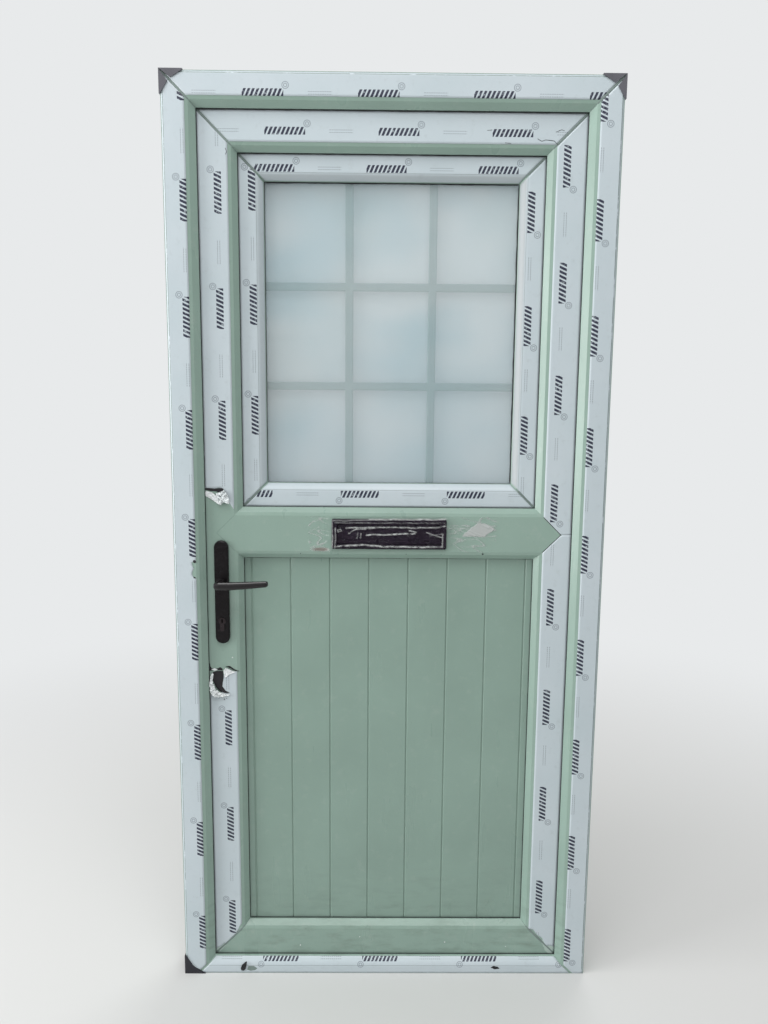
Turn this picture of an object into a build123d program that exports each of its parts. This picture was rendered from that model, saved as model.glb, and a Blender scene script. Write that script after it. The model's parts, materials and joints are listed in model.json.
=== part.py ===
"""A stable door in its frame: extruded hollow profiles, a boarded lower half and a glazed upper
sash that opens by itself. X runs to the right seen from outside, Y into the building, Z up.
The origin is the middle of the frame's underside. All sizes are in millimetres."""
from build123d import *
import math
import os

os.makedirs("parts", exist_ok=True)

# Overall sizes of the outer frame, seen from outside.
frame_width = 985.0
frame_height = 2095.0
threshold_cut = 30.0        # how much lower the bottom profile is cut than the other three

# Sizes that all the profiles share.
profile_depth = 70.0        # from the front face to the room face
wall = 3.0                  # outer walls of the hollow profiles
lip_width = 22.0            # how far the front lip stands over what it covers
lip_depth = 16.5            # from the front face to the back of the lip
facet_depth = 2.0           # depth at which the shallow facet meets the steep one
nose_depth = 13.5           # depth at which the steep facet ends
step = 20.0                 # each sash stands this much further back than what holds it
flange_width = 20.0         # room side flange of a sash
flange_depth = 17.0
sash_gap = 12.0             # between a sash's edge and the rebate that it closes into
flange_cover = flange_width - sash_gap
groove_width = 20.0         # hardware groove round the edge of each sash
groove_depth = 3.0
groove_centre = 28.0        # behind the sash's front face

# Widths of the three profiles, from the outer edge of the body to the rebate floor.
frame_body = 48.0
leaf_body = 72.0
window_body = 43.0
# Width of the two facets on the front of each lip: shallow, then steep.
frame_facets = (7.0, 13.0)
leaf_facets = (7.0, 11.0)
window_facets = (5.0, 11.0)

# Leaf and panel.
mid_rail_height = 1103.0    # middle of the mid rail above the frame's underside
mid_rail_body = 75.0        # between its two rebate floors
panel_thickness = 28.0
panel_clearance = 5.0
board_count = 9             # boards between the eight grooves, the outer two partly covered
board_pitch = 92.0
board_groove_width = 5.0
board_groove_depth = 2.5
bead_width = 20.0
bead_bevel = 12.0
hairline = 0.2              # gap at the mitres of loose beads and gaskets

# Glass unit of the upper sash.
glass_thickness = 4.0
unit_thickness = 28.0
glass_clearance = 5.0
spacer_height = 8.0
bar_width = 18.0
bar_depth = 8.0
panes_across = 3
panes_up = 3

# Steel inside the profiles.
steel_wall = 2.0
steel_clearance = 0.3
steel_end_gap = 30.0

# Ironmongery.
spindle_height = 988.0
spindle_backset = 45.0      # from the leaf's edge
cylinder_drop = 92.0        # from the spindle down to the cylinder
backplate_width = 33.0
backplate_length = 245.0
backplate_depth = 9.0
backplate_edge = 3.0        # bevel round its front
backplate_top = 98.0        # above the spindle
lever_reach = 112.0
lever_standoff = 46.0
letterplate_width = 265.0
letterplate_height = 70.0
letterplate_inner_height = 54.0
hook_offset = 640.0         # from the spindle to each hook's pivot
running_fit = 0.08          # radial clearance of a shaft in its bore
slide_fit = 0.3             # clearance round a sliding bolt
film_thickness = 0.3
past = 1.0                  # how far a cutting tool passes the faces that it cuts

half_width = frame_width / 2
front = -profile_depth / 2
leaf_front = front + step
window_front = leaf_front + step
room_face = front + profile_depth
leaf_room_face = leaf_front + profile_depth
window_room_face = window_front + profile_depth


class Profile:
    """The section of one extruded profile: u across from its outer edge, v back from its front."""

    def __init__(self, body, facets, flange, cut=0.0):
        self.flange = flange
        self.cut = cut
        self.rebate = flange + body
        self.sight = self.rebate + lip_width
        self.ridge = self.sight - facets[1]
        self.flat = self.ridge - facets[0]
        self.groove = groove_depth if flange else 0.0

    def outline(self):
        """Corners of the outside, with the hardware groove where there is a flange."""
        points = [
            (self.flange, 0),
            (self.flat, 0),
            (self.ridge, facet_depth),
            (self.sight, nose_depth),
            (self.sight, lip_depth),
            (self.rebate, lip_depth),
            (self.rebate, profile_depth),
            (0, profile_depth),
        ]
        if self.flange:
            low = groove_centre - groove_width / 2
            high = groove_centre + groove_width / 2
            points += [
                (0, profile_depth - flange_depth),
                (self.flange, profile_depth - flange_depth),
                (self.flange, high),
                (self.flange + groove_depth, high),
                (self.flange + groove_depth, low),
                (self.flange, low),
            ]
        return points

    def main_chamber(self):
        """Corners of the chamber that holds the steel."""
        low_u = self.cut + self.flange + self.groove + wall
        high_v = profile_depth - flange_depth
        return (low_u, lip_depth), (self.rebate - wall, high_v)

    def chambers(self):
        """The front chamber under the facets, the steel's chamber and the room side chamber."""
        inner = self.cut + self.flange + wall
        (low_u, low_v), (high_u, high_v) = self.main_chamber()
        front_chamber = [
            (inner, wall),
            (self.flat - wall / 2, wall),
            (self.ridge - wall / 2, wall + facet_depth),
            (self.sight - 2 * wall, nose_depth),
            (inner, nose_depth),
        ]
        main = [(low_u, low_v), (high_u, low_v), (high_u, high_v), (low_u, high_v)]
        back_low = high_v + wall
        back_high = profile_depth - wall
        outer = self.cut + wall
        back = [(outer, back_low), (high_u, back_low), (high_u, back_high), (outer, back_high)]
        return [front_chamber, main, back]


frame_profile = Profile(frame_body, frame_facets, 0.0)
threshold_profile = Profile(frame_body, frame_facets, 0.0, cut=threshold_cut)
leaf_profile = Profile(leaf_body, leaf_facets, flange_width)
window_profile = Profile(window_body, window_facets, flange_width)


class Ring:
    """A rectangle of four profiles, given by the outer edges of the profiles and their front."""

    def __init__(self, left, right, bottom, top, ring_front, profile):
        self.left, self.right = left, right
        self.bottom, self.top = bottom, top
        self.front = ring_front
        self.profile = profile

    def plane(self, side):
        """Section plane at the start of a side: x towards the ring's middle, y into the building."""
        starts = {
            "left": ((self.left, self.front, self.bottom), (1, 0, 0), (0, 0, 1)),
            "top": ((self.left, self.front, self.top), (0, 0, -1), (1, 0, 0)),
            "right": ((self.right, self.front, self.top), (-1, 0, 0), (0, 0, -1)),
            "bottom": ((self.right, self.front, self.bottom), (0, 0, 1), (-1, 0, 0)),
        }
        origin, across, along = starts[side]
        return Plane(origin=origin, x_dir=across, z_dir=along)

    def length(self, side):
        """Length of a side along its outer edge."""
        return self.top - self.bottom if side in ("left", "right") else self.right - self.left

    def opening(self, inset):
        """Left, right, bottom and top of the rectangle at this distance from the outer edge."""
        return self.left + inset, self.right - inset, self.bottom + inset, self.top - inset


frame_ring = Ring(-half_width, half_width, -threshold_cut, frame_height, front, frame_profile)
leaf_inset = frame_profile.rebate - flange_cover
leaf_ring = Ring(*frame_ring.opening(leaf_inset), leaf_front, leaf_profile)
window_inset = leaf_profile.rebate - flange_cover
window_left, window_right, _, window_top = leaf_ring.opening(window_inset)
mid_rail_top_rebate = mid_rail_height + mid_rail_body / 2
mid_rail_low_rebate = mid_rail_height - mid_rail_body / 2
window_bottom = mid_rail_top_rebate - flange_cover
window_ring = Ring(window_left, window_right, window_bottom, window_top, window_front, window_profile)

sides = ("left", "top", "right", "bottom")
member_names = {
    "frame": ("frame_jamb_left", "frame_head", "frame_jamb_right", "frame_threshold"),
    "leaf": ("leaf_stile_left", "leaf_head", "leaf_stile_right", "leaf_bottom_rail"),
    "window": ("window_stile_left", "window_head", "window_stile_right", "window_bottom_rail"),
}

# Places on the leaf's closing edge and on the frame's rebate floor opposite.
leaf_edge = leaf_ring.left + flange_width
frame_rebate = frame_ring.left + frame_profile.rebate
hardware_y = leaf_front + groove_centre
spindle_x = leaf_edge + spindle_backset
cylinder_height = spindle_height - cylinder_drop
window_edge = window_ring.left + flange_width
leaf_rebate = leaf_ring.left + leaf_profile.rebate
window_hardware_y = window_front + groove_centre


def finish(piece, name):
    """Names a finished piece and writes it out."""
    piece.part.label = name
    export_step(piece.part, f"parts/{name}.step")


def block(x, y, z, mode=Mode.ADD):
    """A box between two x, two y and two z places."""
    with Locations(((x[0] + x[1]) / 2, (y[0] + y[1]) / 2, (z[0] + z[1]) / 2)):
        Box(abs(x[1] - x[0]), abs(y[1] - y[0]), abs(z[1] - z[0]), mode=mode)


def around(middle, size):
    """The two ends of a stretch of this size about its middle."""
    return middle - size / 2, middle + size / 2


def rod_y(x, z, y, radius, mode=Mode.ADD):
    """A round bar or hole along Y between two y places."""
    with Locations(Location((x, (y[0] + y[1]) / 2, z), (90, 0, 0))):
        Cylinder(radius, abs(y[1] - y[0]), mode=mode)


def rod_x(y, z, x, radius, mode=Mode.ADD):
    """A round bar or hole along X between two x places."""
    with Locations(Location(((x[0] + x[1]) / 2, y, z), (0, 90, 0))):
        Cylinder(radius, abs(x[1] - x[0]), mode=mode)


def rod_z(x, y, z, radius, mode=Mode.ADD):
    """A round bar or hole along Z between two z places."""
    with Locations((x, y, (z[0] + z[1]) / 2)):
        Cylinder(radius, abs(z[1] - z[0]), mode=mode)


def cut_mitres(section_plane, length):
    """Cuts both ends of a run at 45 degrees, rising from the outer edge."""
    across, along = section_plane.x_dir, section_plane.z_dir
    split(bisect_by=Plane(origin=section_plane.origin, z_dir=along - across), keep=Keep.TOP)
    far = section_plane.origin + along * length
    split(bisect_by=Plane(origin=far, z_dir=-along - across), keep=Keep.TOP)


def hollow_run(ring, side, profile=None):
    """One hollow profile of a ring, mitred at both ends, in the current part."""
    profile = profile or ring.profile
    section_plane = ring.plane(side)
    with BuildSketch(section_plane) as section:
        with BuildLine():
            Polyline(profile.outline(), close=True)
        make_face()
        for chamber in profile.chambers():
            with BuildLine():
                Polyline(chamber, close=True)
            make_face(mode=Mode.SUBTRACT)
    extrude(section.sketch, amount=ring.length(side))
    cut_mitres(section_plane, ring.length(side))


def channel_bar(ring, side, opens_outward):
    """A steel channel in the main chamber, one side of it open, stopping short of the mitres."""
    (low_u, low_v), (high_u, high_v) = ring.profile.main_chamber()
    low_u, low_v = low_u + steel_clearance, low_v + steel_clearance
    high_u, high_v = high_u - steel_clearance, high_v - steel_clearance
    start = high_u + steel_end_gap
    inner_low_u = low_u if opens_outward else low_u + steel_wall
    inner_high_u = high_u - steel_wall if opens_outward else high_u
    middle_v, inner_v = (low_v + high_v) / 2, high_v - low_v - 2 * steel_wall
    with BuildSketch(ring.plane(side).offset(start)) as section:
        with Locations(((low_u + high_u) / 2, middle_v)):
            Rectangle(high_u - low_u, high_v - low_v)
        with Locations(((inner_low_u + inner_high_u) / 2, middle_v)):
            Rectangle(inner_high_u - inner_low_u, inner_v, mode=Mode.SUBTRACT)
    extrude(section.sketch, amount=ring.length(side) - 2 * start)


def flat_ring(opening, width, y):
    """A rectangular ring of this width inside an opening, between two y places."""
    left, right, bottom, top = opening
    block((left, right), y, (bottom, top))
    block((left + width, right - width), y, (bottom + width, top - width), mode=Mode.SUBTRACT)


def cut_ring_mitres(opening, reach, y, gap=hairline):
    """Parts a ring at its four mitres by a narrow gap, so that each run is a piece of its own."""
    left, right, bottom, top = opening
    corners = ((left, bottom, 1), (left, top, -1), (right, top, 1), (right, bottom, -1))
    for x, z, slope in corners:
        with Locations(Location((x, (y[0] + y[1]) / 2, z), (0, -45 * slope, 0))):
            Box(4 * reach, 2 * abs(y[1] - y[0]), gap, mode=Mode.SUBTRACT)


def rail_notch(extra=0.0):
    """The arrow shapes where the mid rail's ends run into the stiles, as cutters."""
    reach = mid_rail_body / 2 + extra
    for direction in (-1, 1):
        shoulder = direction * (leaf_ring.right - leaf_profile.rebate)
        base = shoulder - direction * lip_width
        with BuildSketch(Plane.XZ.offset(-leaf_room_face)) as arrow:
            with BuildLine():
                Polyline(
                    (base, mid_rail_height - reach - lip_width),
                    (shoulder + direction * reach, mid_rail_height),
                    (base, mid_rail_height + reach + lip_width),
                    close=True,
                )
            make_face()
        extrude(arrow.sketch, amount=profile_depth, mode=Mode.SUBTRACT)


# Fixings through the jambs, evenly spread between the two nearest the corners.
fixing_corner = 150.0
fixing_radius = 4.0
fixing_y = 0.0
fixing_count = 4
fixing_pitch = (frame_height - 2 * fixing_corner) / (fixing_count - 1)


def fixing_holes(x):
    """The row of fixing holes along X through one jamb."""
    for number in range(fixing_count):
        height = fixing_corner + number * fixing_pitch
        rod_x(fixing_y, height, x, fixing_radius, mode=Mode.SUBTRACT)


# Bolts of the lock, on the leaf's closing edge.
case_thickness = 16.0
faceplate_thickness = groove_depth
case_face = leaf_edge + faceplate_thickness
latch_rise = 24.0           # of the latch above the spindle
latch_height = spindle_height + latch_rise
latch_size = (33.0, 12.0, 24.0)         # along X, Y and Z
latch_bevel = 9.0
deadbolt_rise = 46.0        # of the deadbolt above the cylinder
deadbolt_height = cylinder_height + deadbolt_rise
deadbolt_size = (42.0, 11.0, 34.0)
hook_backset = 18.0
hook_pivot_x = leaf_edge + hook_backset
hook_heights = {"hook_lower": spindle_height - hook_offset, "hook_upper": spindle_height + hook_offset}
hook_thickness = 6.0
hook_reach = 46.0
hook_arm = 12.0
hook_nose = 14.0
hook_free = 2.0             # room under a hook's arm
hook_slot_low = hook_arm / 2 + hook_free
hook_sweep = math.hypot(hook_reach, hook_nose) + slide_fit
slot_play = 1.0             # room round the bolts where they enter the frame
bolt_pocket = (hook_pivot_x - hook_sweep - slot_play, frame_rebate + past)
keep_thickness = 3.0
latch_keep_thickness = 6.0
keep_width = 20.0
keep_margin = 18.0


def bolt_slots(x, extra, with_latch=True, hook_low=hook_slot_low):
    """Slots for the latch, the deadbolt and the hooks through what stands at x."""
    if with_latch:
        for height, size in ((latch_height, latch_size), (deadbolt_height, deadbolt_size)):
            width, tall = size[1] + 2 * extra, size[2] + 2 * extra
            block(x, around(hardware_y, width), around(height, tall), mode=Mode.SUBTRACT)
    for height in hook_heights.values():
        z = (height - hook_low - extra, height + hook_sweep + extra)
        block(x, around(hardware_y, hook_thickness + 2 * extra), z, mode=Mode.SUBTRACT)


# Outer frame: four mitred profiles, the lower ends cut level with the floor.
for side, name in zip(sides, member_names["frame"]):
    with BuildPart() as member:
        hollow_run(frame_ring, side, threshold_profile if side == "bottom" else frame_profile)
        split(bisect_by=Plane.XY, keep=Keep.TOP)
        if side == "left":
            fixing_holes((-half_width, frame_rebate))
            bolt_slots(bolt_pocket, slot_play, hook_low=hook_nose)
        if side == "right":
            fixing_holes((half_width, -frame_rebate))
    finish(member, name)

with BuildPart() as frame_reinforcement:
    for side in ("left", "top", "right"):
        channel_bar(frame_ring, side, opens_outward=False)
    fixing_holes((-half_width, frame_rebate))
    fixing_holes((half_width, -frame_rebate))
    bolt_slots(bolt_pocket, slot_play, hook_low=hook_nose)
    split(bisect_by=Plane.XY, keep=Keep.TOP)
finish(frame_reinforcement, "frame_reinforcement")

# Gaskets: on the back of each lip, and on the front of each sash's room side flange.
seal_width = 5.0
seal_setback = 2.0
seal_edge = 1.0
flange_seal_height = step - flange_depth
lip_seal_inset = seal_setback + seal_width


def lip_seal(ring):
    """The gasket between the back of a ring's lip and what closes against it."""
    opening = ring.opening(ring.profile.sight - lip_seal_inset)
    flat_ring(opening, seal_width, (ring.front + lip_depth, ring.front + step))


def flange_seal(ring):
    """The gasket on the front of a sash's flange."""
    back = ring.front + profile_depth - flange_depth
    flat_ring(ring.opening(seal_edge), seal_width, (back - flange_seal_height, back))


with BuildPart() as frame_seal:
    lip_seal(frame_ring)
finish(frame_seal, "frame_seal")

upper_ring = Ring(
    leaf_ring.left, leaf_ring.right, mid_rail_top_rebate - leaf_profile.rebate, leaf_ring.top,
    leaf_front, leaf_profile,
)
lower_ring = Ring(
    leaf_ring.left, leaf_ring.right, leaf_ring.bottom, mid_rail_low_rebate + leaf_profile.rebate,
    leaf_front, leaf_profile,
)
with BuildPart() as leaf_gaskets:
    flange_seal(leaf_ring)
    lip_seal(upper_ring)
    lip_seal(lower_ring)
finish(leaf_gaskets, "leaf_gaskets")

with BuildPart() as window_gaskets:
    flange_seal(window_ring)
    lip_seal(window_ring)
finish(window_gaskets, "window_gaskets")

# Lock cases behind the faceplate, and the holes that their works need through the profiles.
case_behind_spindle = 15.0
case_above = 45.0
case_below = 35.0
case_depth = spindle_backset + case_behind_spindle - faceplate_thickness
case_top = spindle_height + case_above
case_bottom = cylinder_height - case_below
hook_case_depth = 34.0
hook_case_margin = 4.0
hub_radius = 9.0
spindle_size = 8.0
cylinder_radius = 8.5
cylinder_tail = 24.5
cylinder_web = 10.0
cam_radius = 15.0
cam_thickness = 10.0
plug_radius = 6.5
key_slot = (3.0, 9.0)
key_slot_depth = 20.0


def cylinder_profile(clearance):
    """The outline of the lock cylinder seen along Y: a round head on a straight tail."""
    Circle(cylinder_radius + clearance)
    drop = cylinder_tail + clearance - cylinder_web / 2
    with Locations((0, -drop / 2)):
        Rectangle(cylinder_web + 2 * clearance, drop)
    with Locations((0, -drop)):
        Circle(cylinder_web / 2 + clearance)


def cylinder_hole(y, clearance):
    """Cuts the cylinder's outline along Y between two y places."""
    with BuildSketch(Plane((spindle_x, y[0], cylinder_height), (1, 0, 0), (0, -1, 0))) as outline:
        cylinder_profile(clearance)
    extrude(outline.sketch, amount=y[0] - y[1], mode=Mode.SUBTRACT)


lock_hole_play = 1.0        # room round the hub and the cylinder in the profile


def lock_holes(y):
    """Drilled hole for the handle's spindle and a routed slot for the cylinder."""
    rod_y(spindle_x, spindle_height, y, hub_radius + lock_hole_play, mode=Mode.SUBTRACT)
    reach = cylinder_radius + lock_hole_play
    slot_z = (cylinder_height - cylinder_tail - lock_hole_play, cylinder_height + reach)
    block(around(spindle_x, 2 * reach), y, slot_z, mode=Mode.SUBTRACT)


letter_hole = (232.0, 42.0)
leaf_through = (leaf_front - past, leaf_room_face + past)


# Leaf: stiles, head and bottom rail.
for side, name in zip(sides, member_names["leaf"]):
    with BuildPart() as member:
        hollow_run(leaf_ring, side)
        if side in ("left", "right"):
            rail_notch()
        if side == "left":
            lock_holes(leaf_through)
            pocket = (case_face - past, case_face + wall + past)
            pocket_y = around(hardware_y, case_thickness + 2 * slide_fit)
            block(pocket, pocket_y, (case_bottom - slide_fit, case_top + slide_fit), mode=Mode.SUBTRACT)
            for height in hook_heights.values():
                z = (
                    height - hook_slot_low - hook_case_margin - slide_fit,
                    height + hook_sweep + hook_case_margin + slide_fit,
                )
                block(pocket, pocket_y, z, mode=Mode.SUBTRACT)
    finish(member, name)

# Mid rail: a lip above and below, its ends cut to arrows that run into the stiles.
sight_half = mid_rail_body / 2 + lip_width
ridge_half = sight_half - leaf_facets[1]
flat_half = ridge_half - leaf_facets[0]
rail_section_plane = Plane(
    origin=(leaf_ring.left, leaf_front, mid_rail_height), x_dir=(0, 0, -1), z_dir=(1, 0, 0)
)
with BuildPart() as leaf_mid_rail:
    with BuildSketch(rail_section_plane):
        with BuildLine():
            upper = [
                (flat_half, 0),
                (ridge_half, facet_depth),
                (sight_half, nose_depth),
                (sight_half, lip_depth),
                (mid_rail_body / 2, lip_depth),
                (mid_rail_body / 2, profile_depth),
            ]
            Polyline(upper + [(-u, v) for u, v in reversed(upper)], close=True)
        make_face()
        with BuildLine():
            half = [
                (flat_half - wall / 2, wall),
                (ridge_half - wall / 2, wall + facet_depth),
                (sight_half - 2 * wall, nose_depth),
            ]
            Polyline(half + [(-u, v) for u, v in reversed(half)], close=True)
        make_face(mode=Mode.SUBTRACT)
        chamber_high = profile_depth - flange_depth
        for low, high in ((lip_depth, chamber_high), (chamber_high + wall, profile_depth - wall)):
            with Locations((0, (low + high) / 2)):
                Rectangle(mid_rail_body - 2 * wall, high - low, mode=Mode.SUBTRACT)
    extrude(amount=leaf_ring.right - leaf_ring.left)
    for direction in (-1, 1):
        for slope in (-1, 1):
            tip = direction * (leaf_ring.right - leaf_profile.rebate + mid_rail_body / 2)
            cut = Plane((tip, 0, mid_rail_height), z_dir=(-direction, 0, slope))
            split(bisect_by=cut, keep=Keep.TOP)
    letter_x, letter_z = around(0, letter_hole[0]), around(mid_rail_height, letter_hole[1])
    block(letter_x, leaf_through, letter_z, mode=Mode.SUBTRACT)
    lock_holes(leaf_through)
finish(leaf_mid_rail, "leaf_mid_rail")

# Steel channels, open towards the hardware groove so that the lock cases enter them.
with BuildPart() as leaf_reinforcement:
    for side in sides:
        channel_bar(leaf_ring, side, opens_outward=True)
    rail_notch(extra=wall)
    steel_y = (leaf_front + lip_depth, leaf_front + chamber_high)
    slot_z = (cylinder_height - cylinder_tail - wall, spindle_height + hub_radius + wall)
    block(around(spindle_x, 2 * (hub_radius + wall)), steel_y, slot_z, mode=Mode.SUBTRACT)
    rail_steel = mid_rail_body - 2 * wall - 2 * steel_clearance
    rail_steel_v = (lip_depth + steel_clearance, chamber_high - steel_clearance)
    rail_y = (leaf_front + rail_steel_v[0], leaf_front + rail_steel_v[1])
    rail_z = around(mid_rail_height, rail_steel)
    hollow_z = around(mid_rail_height, rail_steel - 2 * steel_wall)
    for direction in (-1, 1):
        inner_end = direction * (letter_hole[0] / 2 + wall)
        outer_end = direction * (leaf_ring.right - leaf_profile.rebate)
        block((inner_end, outer_end), rail_y, rail_z)
        hollow_y = (rail_y[0], rail_y[1] - steel_wall)
        block((inner_end, outer_end), hollow_y, hollow_z, mode=Mode.SUBTRACT)
finish(leaf_reinforcement, "leaf_reinforcement")

# Boarded panel: grooves on both faces between the boards.
panel_left, panel_right, panel_bottom, panel_top = lower_ring.opening(
    leaf_profile.rebate + panel_clearance
)
panel_back = window_front + panel_thickness
with BuildPart() as door_panel:
    block((panel_left, panel_right), (window_front, panel_back), (panel_bottom, panel_top))
    for face_y, inward in ((window_front, 1), (panel_back, -1)):
        groove = [
            (-board_groove_width / 2, face_y),
            (0, face_y + inward * board_groove_depth),
            (board_groove_width / 2, face_y),
        ]
        with BuildSketch(Plane.XY.offset(panel_bottom)) as grooves:
            with GridLocations(board_pitch, 1, board_count - 1, 1):
                Polygon(*groove, align=None)
        extrude(grooves.sketch, amount=panel_top - panel_bottom, mode=Mode.SUBTRACT)
finish(door_panel, "door_panel")


def bead_ring(ring, thickness):
    """Four loose beads that hold a panel or a glass unit in a ring, bevelled towards the middle."""
    opening = ring.opening(ring.profile.rebate)
    y = (ring.front + step + thickness, ring.front + profile_depth)
    flat_ring(opening, bead_width, y)
    left, right, bottom, top = ring.opening(ring.profile.rebate + bead_width)
    with BuildSketch(Plane((0, y[1], 0), (1, 0, 0), (0, -1, 0))) as mouth:
        with Locations(((left + right) / 2, (bottom + top) / 2)):
            Rectangle(right - left + 2 * bead_bevel, top - bottom + 2 * bead_bevel)
    extrude(mouth.sketch, amount=bead_bevel, taper=45, mode=Mode.SUBTRACT)
    cut_ring_mitres(opening, bead_width, y)


with BuildPart() as panel_beads:
    bead_ring(lower_ring, panel_thickness)
finish(panel_beads, "panel_beads")

# Lock of the upper sash: a plate in the edge groove, a gearbox behind it and a sliding cam rail.
window_middle = (window_ring.bottom + window_ring.top) / 2
window_lock_length = 660.0
window_backset = 22.0
window_spindle_x = window_edge + window_backset
window_spindle_size = 7.0
window_case = (28.0, 14.0, 70.0)        # along X, Y and Z
cam_rail_width = 12.0
cam_rail_depth = 1.4
cam_rail_length = 600.0
cam_travel = 18.0
cam_spacing = 500.0
cam_head_radius = 5.0
cam_stem_radius = 3.0
cam_head_depth = 3.0
cam_rise = 7.5              # of the cam's head above the sash's edge
window_case_face = window_edge + groove_depth
window_keep_base = 2.5
window_keep_wall = 3.0
window_keep_length = 24.0
window_keep_gap = 2.0


def window_lock_holes():
    """Cuts the gearbox pocket and the spindle's way through the upper sash's left stile."""
    pocket = (window_case_face - past, window_case_face + wall + past)
    y = around(window_hardware_y, window_case[1] + 2 * slide_fit)
    block(pocket, y, around(window_middle, window_case[2] + 2 * slide_fit), mode=Mode.SUBTRACT)
    back = (window_hardware_y, window_room_face + past)
    rod_y(window_spindle_x, window_middle, back, window_spindle_size, mode=Mode.SUBTRACT)


# Upper sash: four hollow profiles.
for side, name in zip(sides, member_names["window"]):
    with BuildPart() as member:
        hollow_run(window_ring, side)
        if side == "left":
            window_lock_holes()
    finish(member, name)

with BuildPart() as window_beads:
    bead_ring(window_ring, unit_thickness)
finish(window_beads, "window_beads")

# Glass unit: two panes on a spacer, with bars set between them.
unit_opening = window_ring.opening(window_profile.rebate + glass_clearance)
unit_left, unit_right, unit_bottom, unit_top = unit_opening
unit_front = window_front + step
unit_back = unit_front + unit_thickness
for name, y in (
    ("glass_outer_pane", (unit_front, unit_front + glass_thickness)),
    ("glass_inner_pane", (unit_back - glass_thickness, unit_back)),
):
    with BuildPart() as pane:
        block((unit_left, unit_right), y, (unit_bottom, unit_top))
    finish(pane, name)

spacer_setback = 4.0
spacer_y = (unit_front + glass_thickness, unit_back - glass_thickness)
with BuildPart() as glass_spacer:
    spacer_inset = window_profile.rebate + glass_clearance + spacer_setback
    flat_ring(window_ring.opening(spacer_inset), spacer_height, spacer_y)
finish(glass_spacer, "glass_spacer")

bars_left, bars_right, bars_bottom, bars_top = window_ring.opening(spacer_inset + spacer_height)
sight_left, sight_right, sight_bottom, sight_top = window_ring.opening(window_profile.sight)
with BuildPart() as georgian_bars:
    bar_y = around((spacer_y[0] + spacer_y[1]) / 2, bar_depth)
    for number in range(1, panes_across):
        x = sight_left + (sight_right - sight_left) * number / panes_across
        block(around(x, bar_width), bar_y, (bars_bottom, bars_top))
    for number in range(1, panes_up):
        z = sight_bottom + (sight_top - sight_bottom) * number / panes_up
        block((bars_left, bars_right), bar_y, around(z, bar_width))
    long_edges = georgian_bars.edges().filter_by(Axis.X) + georgian_bars.edges().filter_by(Axis.Z)
    chamfer([edge for edge in long_edges if edge.length > bar_width + 1], bar_depth / 4)
finish(georgian_bars, "georgian_bars")

# Plate with its gearbox, and cam rail, of the upper sash's lock.
channel_y = around(window_hardware_y, cam_rail_width + 2 * slide_fit)
with BuildPart() as window_lock_plate:
    plate_z = around(window_middle, window_lock_length)
    groove_y = around(window_hardware_y, groove_width)
    block((window_edge, window_case_face), groove_y, plate_z)
    channel = (window_case_face - cam_rail_depth - slide_fit, window_case_face)
    block(channel, channel_y, around(window_middle, window_lock_length - 2 * wall), mode=Mode.SUBTRACT)
    for direction in (-1, 1):
        stem = cam_stem_radius + slide_fit
        low = window_middle + direction * cam_spacing / 2 - stem
        z = (low, low + 2 * stem + cam_travel)
        block((window_edge, window_case_face), around(window_hardware_y, 2 * stem), z, mode=Mode.SUBTRACT)
    case_x = (window_case_face, window_case_face + window_case[0])
    block(case_x, around(window_hardware_y, window_case[1]), around(window_middle, window_case[2]))
    case_y = around(window_hardware_y, window_case[1] + 2 * past)
    rod_y(window_spindle_x, window_middle, case_y, window_spindle_size, mode=Mode.SUBTRACT)
finish(window_lock_plate, "window_lock_plate")

with BuildPart() as window_cam_rail:
    rail_x = (window_case_face - cam_rail_depth - slide_fit / 2, window_case_face - slide_fit / 2)
    rail_low = window_middle - cam_rail_length / 2 - cam_travel / 2
    rail_z = (rail_low, rail_low + cam_rail_length)
    block(rail_x, around(window_hardware_y, cam_rail_width), rail_z)
    for direction in (-1, 1):
        height = window_middle + direction * cam_spacing / 2
        top = window_edge - cam_rise
        rod_x(window_hardware_y, height, (rail_x[0], top), cam_stem_radius)
        rod_x(window_hardware_y, height, (top + cam_head_depth, top), cam_head_radius)
finish(window_cam_rail, "window_cam_rail")

with BuildPart() as window_keeps:
    for direction in (-1, 1):
        low = window_middle + direction * cam_spacing / 2 + cam_travel - window_keep_length / 2
        z = (low, low + window_keep_length)
        base_x = (leaf_rebate, leaf_rebate + window_keep_base)
        base_y = around(window_hardware_y, groove_width)
        lip_y = window_hardware_y + cam_head_radius + 2 * slide_fit
        block(base_x, base_y, z)
        block((leaf_rebate, window_edge - window_keep_gap), (lip_y, lip_y + window_keep_wall), z)
finish(window_keeps, "window_keeps")


hinge_gap = 0.5             # between the two halves of a knuckle


class Hinge:
    """A row of lift-off hinges on one upright axis: fixed flags with pins, and flags that turn."""

    def __init__(self, axis, heights, height, knuckle, pin, plate):
        self.x, self.y = axis
        self.heights, self.height = heights, height
        self.knuckle, self.pin, self.plate = knuckle, pin, plate

    def fixed_flags(self, flag_x, face):
        """Lower halves with their pins, on the face of what stays."""
        for middle in self.heights:
            z = (middle - self.height / 2, middle - hinge_gap / 2)
            block(flag_x, (face, face + self.plate), z)
            block(around(self.x, self.knuckle), (face, self.y), z)
            rod_z(self.x, self.y, z, self.knuckle)
            pin_top = middle + self.height / 2 - self.plate
            rod_z(self.x, self.y, (middle - hinge_gap, pin_top), self.pin)

    def turning_flags(self, flag_x, face):
        """Upper halves, bored for the pins, on the face of what turns."""
        for middle in self.heights:
            z = (middle + hinge_gap / 2, middle + self.height / 2)
            block(flag_x, (face, face + self.plate), z)
            block((flag_x[1], self.x), (face, self.y), z)
            rod_z(self.x, self.y, z, self.knuckle)
            bore = (middle - hinge_gap, z[1] - self.plate + hinge_gap)
            rod_z(self.x, self.y, bore, self.pin + running_fit, mode=Mode.SUBTRACT)


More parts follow.
